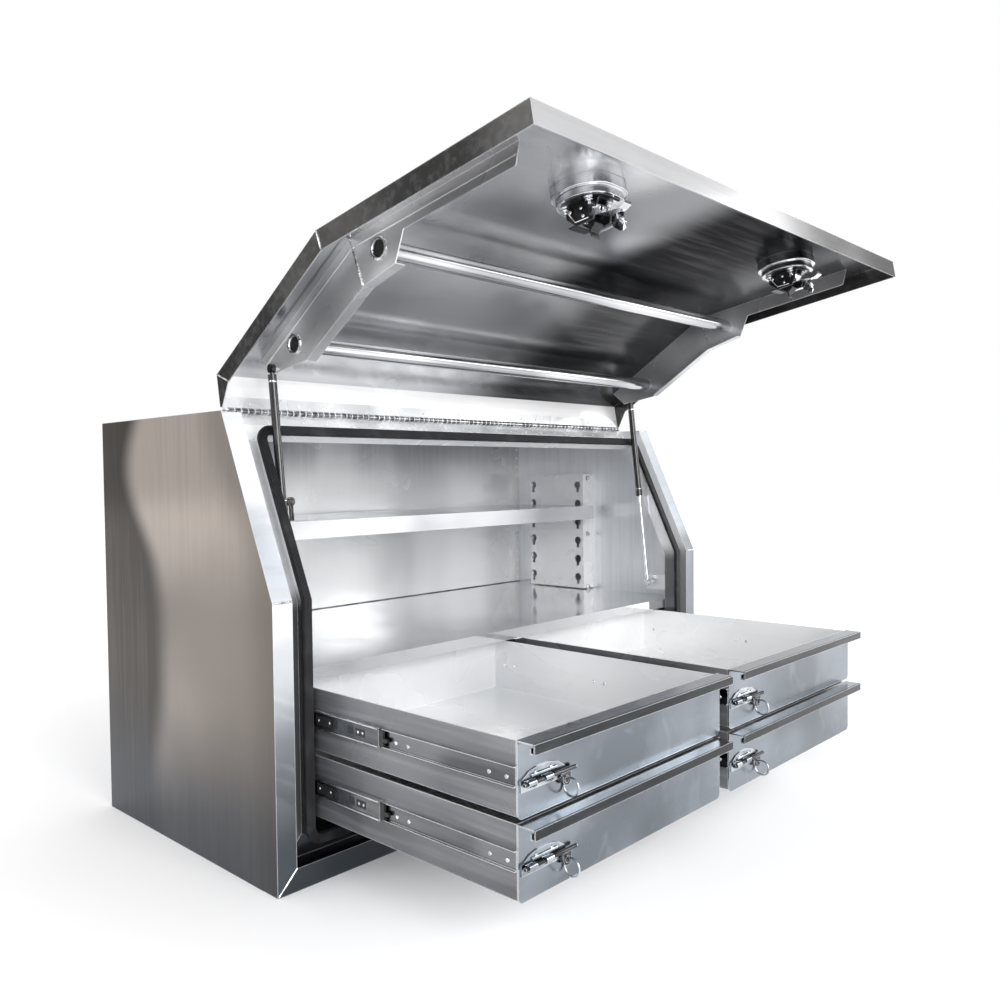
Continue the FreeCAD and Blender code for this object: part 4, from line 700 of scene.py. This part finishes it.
def lid_knee(across, deep):
    """A place on the lid's knee fold, measured in from its outer skin."""
    return (across, LID_FRONT + deep, LID_KNEE - deep * LID_MITRE)


def lid_slope(across, down, deep):
    """A place on the lid's slope: down from its brow and in from its skin."""
    brow_back, brow_up = LID_BROW
    run, climb = brow_back - LID_FRONT, brow_up - LID_KNEE
    back_share, up_share = run / math.hypot(run, climb), climb / math.hypot(run, climb)
    return (across, brow_back - down * back_share + deep * up_share,
            brow_up - down * up_share - deep * back_share)


plate_folds = Shape()
for side in (-1, 1):
    plate, inner = PLATE_PLACE * side, (PLATE_PLACE - PLATE_FLANGE) * side
    edges = [(LID_FRONT + PLATE_ARM[0], PLATE_ARM[1]), lid_knee(0, PLATE_DEEP)[1:],
             lid_slope(0, PLATE_SLOPE_DOWN, PLATE_DEEP)[1:]]
    for (back, up), (next_back, next_up) in zip(edges, edges[1:]):
        thick = Vector((0, next_back - back, next_up - up)).normalized().cross((1, 0, 0))
        outer_end, inner_end = Vector((plate, 0, 0)), Vector((inner, 0, 0))
        rings = []
        for place_back, place_up in ((back, up), (next_back, next_up)):
            edge = Vector((0, place_back, place_up))
            rings.append([edge + outer_end, edge + inner_end,
                          edge + thick * FOLD_THICK + inner_end,
                          edge + thick * FOLD_THICK + outer_end])
        plate_folds.skin(rings)
    outside, ridge_back = plate + 0.6 * side, LID_FRONT + RIDGE_DEEP
    ridge_bend = lid_knee(outside, RIDGE_DEEP)
    plate_folds.rod([(outside, ridge_back, RIDGE_FOOT), (outside, ridge_back, RIDGE_KNEE),
                     ridge_bend], RIDGE_RADIUS, 10)
    plate_folds.rod([ridge_bend, lid_slope(outside, RIDGE_DOWN, RIDGE_DEEP)], RIDGE_RADIUS, 10)
piece("plate_folds", "lid", plate_finish, plate_folds, LID)

lid_welds, tube_plugs = Shape(), Shape()
for side in (-1, 1):
    rim = LID_HALF * side
    lid_welds.weld([lid_knee(rim, 1), lid_knee(rim, LID_RIM - 1)], 2.0)
    lid_welds.weld([(rim, LID_BROW[0], BROW_WELD_UP),
                    (rim, LID_BROW[0] + LID_RIM * 0.6, BROW_WELD_UP - LID_RIM)], 2.0)
    plate = PLATE_PLACE * side
    lid_welds.weld([lid_knee(plate, 4), lid_knee(plate, PLATE_DEEP - 1)], 2.4)
    for back, up in TUBES:
        ring = []
        for step in range(36):
            angle = math.tau * step / 36
            ring.append((plate + 0.6 * side, back + TUBE_WELD_RADIUS * math.cos(angle),
                         up + TUBE_WELD_RADIUS * math.sin(angle)))
        lid_welds.rod(ring, TUBE_WELD, 8, closed=True,
                      swell=lambda index: 0.85 + 0.25 * (index % 2))
        tube_plugs.turn((plate - PLUG_SUNK * side, back, up), (side, 0, 0),
                        [(TUBE_BORE - 0.2, 0), (TUBE_BORE - 0.2, 2), (TUBE_BORE - 4, 2.6)], 24)
piece("lid_welds", "lid", weld_finish, lid_welds, LID)
plug_black = Surface("plug_black")
plug_black.finish(Base_Color=plug_black.mix(plug_black.noise(60), (0.004, 0.004, 0.004),
                                            (0.012, 0.012, 0.012)), Roughness=0.8)
piece("tube_plugs", "lid", plug_black, tube_plugs, LID)

# Lid locks: on each pressed oval pan a folded black bracket, held by four nuts, carries a
# bright claw on a cross pin with its coiled spring, a slotted pull lever and a curved guard.
# They are bright and black plated steel.
LOCK_ACROSS, LOCK_UP = 337, 159
PAN_FLOOR, PAN_FLOOR_RADIUS, PAN_LEDGE, PAN_LEDGE_RADIUS = 26.1, 43.6, 14.1, 49.6
PAN_HALF_LONG, PAN_BEAD, BEAD_SUNK = 12.5, 1.1, 0.3
PAN_WALL_DEEP, PAN_WALL_BRIGHT = (0.10, 0.102, 0.108), (0.62, 0.63, 0.65)
PLATED_BLACK, PLATED_WORN = (0.012, 0.012, 0.013), (0.035, 0.035, 0.037)
PLATED_EDGE, PLATED_EDGE_WIDTH = (0.35, 0.35, 0.36), 0.0012
NUTS_ACROSS, NUTS_UP = (-32, 32), (-20, 24)
WASHER = [(7.5, 0), (7.5, 1.2)]
NUT = [(5.2, 1), (5.9, 1.8), (5.9, 5.2), (5.0, 6)]
STUD = [(2.9, 1), (2.9, 10), (2.2, 10.8)]
CLAW_PIN, CHEEK = (38.1, 141), 25
SPRING_RADIUS, SPRING_WIRE, SPRING_PITCH, SPRING_TURNS, SPRING_STEPS = 6.6, 0.95, 2, 5, 18
SPRING_START, SPRING_TAIL = 10.6, 20.6
GUARD_CENTRE, GUARD_ACROSS, GUARD_DEEP, GUARD_THICK = (31, 27), 31, 29, 2
GUARD_START, GUARD_SWEEP, GUARD_STEPS, GUARD_FOOT, GUARD_HEAD = 100, 104, 12, 140, 172
PIN_COLLAR = [(6.4, 0), (6.4, 1.2), (5.8, 1.6)]
PIN_HEAD = [(4.0, 1), (4.2, 2.2), (3.4, 3.2), (1.2, 3.6)]
HUB, HUB_START = [(6.2, 0), (6.8, 0.8), (6.8, 11), (6.2, 11.8)], 9.4
POST = [(5, 0), (5, 3), (4, 3.6), (4, 22), (3.2, 23)]
BUFFER = [(4, 0), (4.6, 2), (4.6, 12), (3.6, 14)]
GUARD_STUD = [(6, 0), (6, 3), (4.2, 4), (4.2, 12), (3.2, 13)]
CHEEK_RIVETS = ((34, 180), (47, 158), (34, 160))
CHEEK_WIRE = ((30, 186), (52, 172), (53, 148))
LEVER_INNER, LEVER_THICK, SLOT_PROUD = 26.5, 2.2, 0.2
LEVER = [(27, 150), (60, 142), (70, 132), (71, 126), (65, 124), (50, 132), (27, 136)]
LEVER_SLOT = [(34, 144), (50, 140), (50, 137), (34, 141)]
CROSS_PLATE = [(-20, 178), (20, 178), (20, 190), (-20, 190)]
HOOK = [(56, 150), (58.5, 150), (66, 160), (75, 158), (76, 160), (65, 163)]
TOE = [(-22, 128), (-22, 140), (-40, 134), (-46, 126), (-40, 120)]
GUARD_WING = [(29, 124), (52, 134), (58, 142), (29, 142)]


def pan_wall_streaks_and_shade(surface, colour):
    """The pan's drawn wall is streaked, and painted darker than its floor and ledges as painted
    shade.
    """
    streaks = surface.band(surface.noise(14, 2, (1, 1, 0.2)), 0.40, 0.62)
    wall = surface.mix(streaks, PAN_WALL_DEEP, PAN_WALL_BRIGHT)
    return surface.mix(surface.band(surface.slant("Z").size(), 0.6, 0.3), colour, wall)


pan_finish = sheet_metal("lock_pan_steel", (0.86, 0.87, 0.89), (0.46, 0.47, 0.49), 0.16, 7,
                         (1, 1, 1), tint=pan_wall_streaks_and_shade)
claw_finish = sheet_metal("claw_steel", (0.90, 0.90, 0.92), (0.55, 0.56, 0.58), 0.13, 18,
                          (1, 1, 1))
bright_steel = sheet_metal("bright_steel", (0.86, 0.87, 0.89), (0.50, 0.51, 0.53), 0.18, 25,
                           (1, 1, 1))
# Black plated steel with real wear marks, and a painted highlight along its edges.
lock_black = Surface("lock_black")
black_wear = lock_black.band(lock_black.noise(90, 3), 0.55, 0.7)
lock_black.finish(
    Base_Color=lock_black.mix(edge_light(lock_black, PLATED_EDGE_WIDTH) * 0.5,
                              lock_black.mix(black_wear, PLATED_BLACK, PLATED_WORN), PLATED_EDGE),
    Roughness=black_wear * 0.2 + 0.3, Metallic=0.4,
    Normal=lock_black.bump(lock_black.noise(500, 2), 0.0002, 0.3),
)
dress(pan_finish, "lock_pans")
dress(lock_black, "lock_housings")
dress(claw_finish, "left_lock_claw", "right_lock_claw")
dress(bright_steel, "left_lock_handle", "right_lock_handle")


def oval(half_long, radius, steps=12):
    """The outline of a pan: two half circles joined by straight sides."""
    places = []
    for side, first in ((1, -90), (-1, 90)):
        for step in range(steps + 1):
            angle = math.radians(first + 180 * step / steps)
            places.append((side * half_long + radius * math.cos(angle),
                           radius * math.sin(angle)))
    return places


lock_beads, lock_bright, lock_dark, lock_guards = Shape(), Shape(), Shape(), Shape()
for side in (-1, 1):
    across = LOCK_ACROSS * side
    for level, radius in ((PAN_LEDGE - BEAD_SUNK, PAN_LEDGE_RADIUS),
                          (PAN_FLOOR - BEAD_SUNK, PAN_FLOOR_RADIUS)):
        line = [(across + x, level, LOCK_UP + z) for x, z in oval(PAN_HALF_LONG, radius)]
        lock_beads.rod(line, PAN_BEAD, 8, closed=True)
    for nut_x in NUTS_ACROSS:
        for nut_z in NUTS_UP:
            foot = (across + nut_x, PAN_FLOOR, LOCK_UP + nut_z)
            lock_bright.turn(foot, (0, 1, 0), WASHER, 20)
            lock_bright.turn(foot, (0, 1, 0), NUT, 6)
            lock_bright.turn(foot, (0, 1, 0), STUD, 14)
    # A thin black oval on the pan's floor stands for the dark inside the pan: painted shade.
    lock_dark.prism("Y", PAN_FLOOR, PAN_FLOOR + 0.6,
                    [(across + x, LOCK_UP + z) for x, z in oval(PAN_HALF_LONG, 38)])
    for end in (-1, 1):
        head = (across + CHEEK * end, *CLAW_PIN)
        lock_dark.turn(head, (end, 0, 0), PIN_COLLAR, 24)
        lock_bright.turn(head, (end, 0, 0), PIN_HEAD, 20)
    lock_bright.turn((across + HUB_START, *CLAW_PIN), (1, 0, 0), HUB, 24)
    coil = []
    for step in range(SPRING_TURNS * SPRING_STEPS + 1):
        angle = math.tau * step / SPRING_STEPS
        coil.append((across - SPRING_START - SPRING_PITCH * step / SPRING_STEPS,
                     CLAW_PIN[0] + SPRING_RADIUS * math.cos(angle),
                     CLAW_PIN[1] + SPRING_RADIUS * math.sin(angle)))
    coil.append((across - SPRING_TAIL, PAN_FLOOR + 3, CLAW_PIN[1] + 20))
    lock_bright.rod(coil, SPRING_WIRE, 8)
    for cheek in (-1, 1):
        for back, up in CHEEK_RIVETS:
            lock_bright.dome((across + CHEEK * cheek, back, up), (cheek, 0, 0), 2.8, 1.4)
        wire = [(across + (CHEEK + 1) * cheek, back, up) for back, up in CHEEK_WIRE]
        lock_bright.rod(wire, 1.1, 8)
    lock_bright.turn((across + 2, PAN_FLOOR, LOCK_UP + 14), (0, 1, 0), POST, 18)
    lever_start, lever_end = across + LEVER_INNER, across + LEVER_INNER + LEVER_THICK
    lock_bright.prism("X", lever_start, lever_end, LEVER)
    # The lever's slot is drawn as a dark inlay: painted shade for the opening.
    lock_dark.prism("X", lever_start - SLOT_PROUD, lever_end + SLOT_PROUD, LEVER_SLOT)
    lock_dark.prism("Y", 53, 55.5, [(across + x, z) for x, z in CROSS_PLATE])
    lock_dark.prism("X", across - 8, across + 12, HOOK)
    lock_bright.prism("Y", 50, 52.5, [(across + x, z) for x, z in TOE])
    lock_dark.turn((across - 40, 44, 132), (0, 1, 0), BUFFER)
    guard = []
    steps = range(GUARD_STEPS + 1)
    for order, thick in ((steps, 0), (reversed(steps), GUARD_THICK)):
        for step in order:
            angle = math.radians(GUARD_START - GUARD_SWEEP * step / GUARD_STEPS)
            guard.append((across + GUARD_CENTRE[0] + (GUARD_ACROSS - thick) * math.cos(angle),
                          GUARD_CENTRE[1] + (GUARD_DEEP - thick) * math.sin(angle)))
    lock_guards.prism("Z", GUARD_FOOT, GUARD_HEAD, guard)
    lock_guards.prism("Y", 50, 52, [(across + x, z) for x, z in GUARD_WING])
    lock_bright.turn((across + 38, 52, 131), (0, 1, 0), GUARD_STUD, 18)
piece("lock_pan_beads", "lid", pan_finish, lock_beads, LID)
piece("lock_springs_and_nuts", "lid", bright_steel, lock_bright, LID)
piece("lock_brackets", "lid", lock_black, lock_dark, LID)
piece("lock_guards", "lid", claw_finish, lock_guards, LID)
dress(bright_steel, "lock_strikers")

# Gas struts: a black painted pressure tube with a collar at its foot over a polished rod,
# on steel pins at both ends. The lower pins stand on plates welded behind the door frame.
PAINT_BLACK, PAINT_WORN = (0.010, 0.010, 0.011), (0.045, 0.044, 0.044)
strut_paint = Surface("strut_paint")
paint_marks = strut_paint.band(strut_paint.noise(70, 3, (1, 1, 0.2)), 0.5, 0.7)
strut_paint.finish(
    Base_Color=strut_paint.mix(paint_marks, PAINT_BLACK, PAINT_WORN),
    Roughness=paint_marks * 0.15 + 0.2, Coat_Weight=0.3, Coat_Roughness=0.1,
)
rod_finish = sheet_metal("polished_rod", (0.88, 0.88, 0.90), (0.62, 0.63, 0.66), 0.08, 30,
                         (1, 1, 1), edge=0)
dress(strut_paint, "left_strut_cylinder", "right_strut_cylinder")
dress(rod_finish, "left_strut_rod", "right_strut_rod")
dress(shell_finish, "strut_brackets")

STRUT_ACROSS, STRUT_FOOT = 555, Vector((0, 80, 392))
STRUT_HEAD = Vector((0, 130.97, 865.97))
strut_line = (STRUT_HEAD - STRUT_FOOT).normalized()
TUBE_FOOT, TUBE_HEAD, COLLAR_LENGTH, COLLAR_RADIUS, COLLAR_HALF = 223.7, 452, 22, 9.0, 1.2
for side, name in ((-1, "left"), (1, "right")):
    ends = Shape()
    foot = STRUT_FOOT + Vector((STRUT_ACROSS * side, 0, 0))
    for along in (TUBE_FOOT + COLLAR_HALF, TUBE_FOOT + COLLAR_LENGTH - COLLAR_HALF):
        centre = foot + strut_line * along
        ends.turn(centre - strut_line * COLLAR_HALF, strut_line,
                  [(COLLAR_RADIUS - 0.6, 0), (COLLAR_RADIUS, 0.5), (COLLAR_RADIUS, 1.9),
                   (COLLAR_RADIUS - 0.6, 2.4)], 24)
    ends.turn(foot + strut_line * TUBE_HEAD, strut_line,
              [(7.7, 0), (7.9, 1), (7.0, 6), (4.2, 9)], 24)
    piece(name + "_strut_collar", name + "_strut_cylinder", rod_finish, ends)

# Spare keys: two cut keys on a wire ring, hung round the left strut over its collar.
key_finish = sheet_metal("key_brass", (0.14, 0.135, 0.125), (0.02, 0.019, 0.018), 0.2, 60,
                         (1, 1, 1), edge=0.4)
dress(key_finish, "spare_keys")

# Upper compartment: the middle floor with its front edge folded down, two keyhole channels
# bolted to the side walls and the hook-in shelf, all bright sheet aluminium.
shelf_finish = sheet_metal("shelf_sheet", (0.90, 0.91, 0.93), (0.60, 0.61, 0.64), 0.17,
                           cloud=3.0, grain=(1, 9, 9), metal=0.55)
floor_finish = sheet_metal("floor_sheet", (0.96, 0.96, 0.97), (0.80, 0.81, 0.83), 0.10,
                           cloud=2.4, grain=(1, 8, 8), metal=0.75, wave=0.12)
dress(floor_finish, "middle_floor")
dress(inner_finish, "keyhole_plates")
dress(shelf_finish, "shelf")

BOLT_INSET, CHANNEL_FACE, BOLT_LEVELS = 29, 320.5, (664, 506, 354)
plate_bolts = Shape()
for side in (-1, 1):
    for level in BOLT_LEVELS:
        centre = Vector(((BOX_HALF - BOLT_INSET) * side, CHANNEL_FACE, level))
        plate_bolts.turn(centre, (0, -1, 0), [(7, 0), (7, 1.2)], 20)
        plate_bolts.turn(centre, (0, -1, 0), [(5.4, 1), (6.1, 1.8), (6.1, 5), (5.2, 5.8)], 6)
piece("keyhole_plate_bolts", "box", bright_steel, plate_bolts)

# Drawer bay: a folded divider between the stacks and a folded wall on each side, which carry
# the outer slides.
bay_finish = sheet_metal("bay_sheet", (0.60, 0.61, 0.63), (0.30, 0.31, 0.325), 0.2, cloud=4)
dress(bay_finish, "drawer_divider", "slide_mounting_walls")

# Drawers: each is a folded tray on riveted ball slides, with a flat front whose top is folded
# out into a full-width grip, and a riveted latch with a sliding bolt and a pull ring. The
# fronts are painted blue-grey, a painted reflection of the room.
TRAY_BRIGHT, TRAY_DEEP = (0.94, 0.945, 0.95), (0.74, 0.75, 0.765)
TRAY_SIDE_BRIGHT, TRAY_SIDE_DEEP = (0.22, 0.226, 0.24), (0.105, 0.109, 0.118)
# Real smudges, a painted-light grip top and a nose darkened by painted reflection.
SMUDGE, GRIP_TOP_PAINTED_LIGHT, NOSE_PAINTED_REFLECTION = (0.42, 0.46, 0.50), (0.50, 0.52, 0.55), (0.014, 0.015, 0.016)
WEB_DEEP, WEB_BRIGHT = (0.11, 0.115, 0.12), (0.22, 0.225, 0.235)
NOSE_FACE, TRAY_WIDTH, TRAY_THICK = -0.7595, 527, 1.6
LEFT_STACK, RIGHT_STACK, UPPER_ROW, LOWER_ROW = -561, 17, 215.5, 102


def tray_painted_shade(surface, colour):
    """The tray's outside is painted greyer than its inside: painted shade on its sides in the
    drawer bay.
    """
    clouds = surface.band(surface.noise(3.2, 1.5), 0.35, 0.65)
    grey = surface.mix(clouds, TRAY_SIDE_DEEP, TRAY_SIDE_BRIGHT)
    outside = sum((surface.near("X", edge / 1000, 0.0006)
                   for left in (LEFT_STACK, RIGHT_STACK)
                   for edge in (left, left + TRAY_WIDTH)), start=0.0)
    return surface.mix(outside, colour, grey)


def front_smudges_and_painted_light(surface, colour):
    """Smudges cloud the front. The grip is painted pale on top as painted light, and its nose is
    painted dark as a painted reflection of the dark ground.
    """
    smudge = surface.band(surface.noise(11, 2.5, twist=1.6), 0.52, 0.68)
    colour = surface.mix(smudge * 0.18, colour, SMUDGE)
    colour = surface.mix(surface.facing("Z", 0.6, 0.9) * 0.7, colour, GRIP_TOP_PAINTED_LIGHT)
    return surface.mix(surface.along("Y", NOSE_FACE + 0.002, NOSE_FACE) * 0.9, colour, NOSE_PAINTED_REFLECTION)


tray_finish = sheet_metal("tray_sheet", TRAY_BRIGHT, TRAY_DEEP, 0.24, cloud=2.4,
                          grain=(12, 0.5, 12), metal=0.35, tint=tray_painted_shade)
front_finish = sheet_metal("front_sheet", (0.30, 0.33, 0.365), (0.165, 0.185, 0.205), 0.2,
                           cloud=4.2, grain=(1, 9, 9), tint=front_smudges_and_painted_light)


def slide_tint(surface, colour):
    """The webs of the slides sit in shade between their bright rolled edges."""
    web = surface.facing("X", 0.8, 0.95) + surface.facing("X", -0.8, -0.95)
    clouds = surface.band(surface.noise(8, 1), 0.3, 0.7)
    return surface.mix(web, colour, surface.mix(clouds, WEB_DEEP, WEB_BRIGHT))


slide_finish = sheet_metal("slide_zinc", (0.84, 0.85, 0.87), (0.50, 0.51, 0.53), 0.18, 12,
                           (9, 1, 9), tint=slide_tint)
latch_finish = sheet_metal("latch_steel", (0.56, 0.60, 0.64), (0.27, 0.30, 0.33), 0.16, 22,
                           (1, 1, 1))
tab_finish = sheet_metal("latch_tab_steel", (0.10, 0.105, 0.115), (0.035, 0.037, 0.04), 0.2, 30,
                         (1, 1, 1))
cage_black = Surface("cage_black")
cage_black.finish(Base_Color=cage_black.mix(cage_black.noise(150), (0.012, 0.012, 0.013),
                                            (0.03, 0.03, 0.032)), Roughness=0.35)
dress(slide_finish, "cabinet_slides")

SLIDE, SLIDE_LEVEL, DRAWER_FACE = 12.7, 59.5, -432
MIDDLE_INSET, MIDDLE_FRONT, MIDDLE_BACK = 4.2, -160, 320
TRACK_HALF, TRACK_RADIUS = 13.9, 2.0
CAGE_NEAR, CAGE_FAR, CAGE_HALF = 0.6, 4.9, 12.6
WINDOWS = ((34, 22, 6), (62, 13, 6), (104, 8, 6.5), (118, 40, 8), (200, 22, 6), (240, 13, 6))
TRAY_SCREWS, SLIDE_RIVETS = (55, 30, -175, -200, -395), (-191, -218, -382, -414)
LATCH_INSET, LATCH_FOOT, LATCH_THICK = 5, 36.5, 2
LATCH_RIVETS = ((28, 4.5), (64, 4.5), (30, 22), (64, 22))
RIDGE_START, RIDGE_END, RIDGE_UP, RIDGE_RISE, RIDGE_HALF = 20, 74, 19, 2.6, 3
DRAWERS = {
    "upper_left": (LEFT_STACK, UPPER_ROW), "upper_right": (RIGHT_STACK, UPPER_ROW),
    "lower_left": (LEFT_STACK, LOWER_ROW), "lower_right": (RIGHT_STACK, LOWER_ROW),
}
for name, (left, row) in DRAWERS.items():
    dress(tray_finish, name + "_tray")
    dress(front_finish, name + "_front")
    dress(slide_finish, name + "_slide_inners", name + "_slide_middles")
    dress(latch_finish, name + "_latch_base", name + "_latch_ring")
    dress(tab_finish, name + "_latch_bolt")
    centre = row + SLIDE_LEVEL
    drawer_rivets, screws = Shape(), Shape()
    cages, tracks = Shape(), Shape()
    for side, tray_face in ((-1, left), (1, left + TRAY_WIDTH)):
        inside = tray_face - side * TRAY_THICK
        for back in TRAY_SCREWS:
            screws.dome((inside, back, centre - 3), (-side, 0, 0), 3.4, 1.4)
        for back in SLIDE_RIVETS:
            drawer_rivets.dome((tray_face + side * 1.2, back, centre - 3), (side, 0, 0), 3.6, 1.6)
        web = tray_face + side * (SLIDE - MIDDLE_INSET)
        for up in (-1, 1):
            level = centre + up * TRACK_HALF
            tracks.rod([(web + side * 0.4, MIDDLE_FRONT + 2, level),
                        (web + side * 0.4, MIDDLE_BACK - 4, level)], TRACK_RADIUS, 10)
        for back, length, half in WINDOWS:
            faces = sorted((web, web + side * 0.5))
            start = MIDDLE_FRONT + back
            cages.block((faces[0], start, centre - half),
                        (faces[1], start + length, centre + half))
            if length > 20:
                for place in (5, length - 6):
                    tracks.dome((web + side * 0.4, start + place, centre), (side, 0, 0),
                                2.6, 1.2, 12)
        near, far = sorted((web - side * CAGE_NEAR, web - side * CAGE_FAR))
        cages.prism("X", near, far, [
            (MIDDLE_FRONT + 2, centre - CAGE_HALF), (MIDDLE_FRONT - 9, centre - CAGE_HALF),
            (MIDDLE_FRONT - 9, centre - 5), (MIDDLE_FRONT - 17, centre - 5),
            (MIDDLE_FRONT - 19, centre - 1), (MIDDLE_FRONT - 17, centre + 1),
            (MIDDLE_FRONT - 9, centre + 1), (MIDDLE_FRONT - 9, centre + CAGE_HALF),
            (MIDDLE_FRONT + 2, centre + CAGE_HALF),
        ])
    piece(name + "_tray_screws", name + "_drawer", bright_steel, screws)
    piece(name + "_slide_rivets", name + "_drawer", bright_steel, drawer_rivets)
    piece(name + "_ball_cages", name + "_slide_middle", cage_black, cages)
    piece(name + "_ball_tracks", name + "_slide_middle", bright_steel, tracks)

    latch_rivets = Shape()
    start, foot, face = left + LATCH_INSET, row + LATCH_FOOT, DRAWER_FACE - LATCH_THICK
    for across, up in LATCH_RIVETS:
        latch_rivets.dome((start + across, face, foot + up), (0, -1, 0), 3.1, 1.9)
    ridge = []
    for step in range(9):
        angle = math.pi * step / 8
        ridge.append((face - RIDGE_RISE * math.sin(angle),
                      foot + RIDGE_UP - RIDGE_HALF * math.cos(angle)))
    latch_rivets.prism("X", start + RIDGE_START, start + RIDGE_END, ridge)
    piece(name + "_latch_rivets", name + "_drawer", latch_finish, latch_rivets)
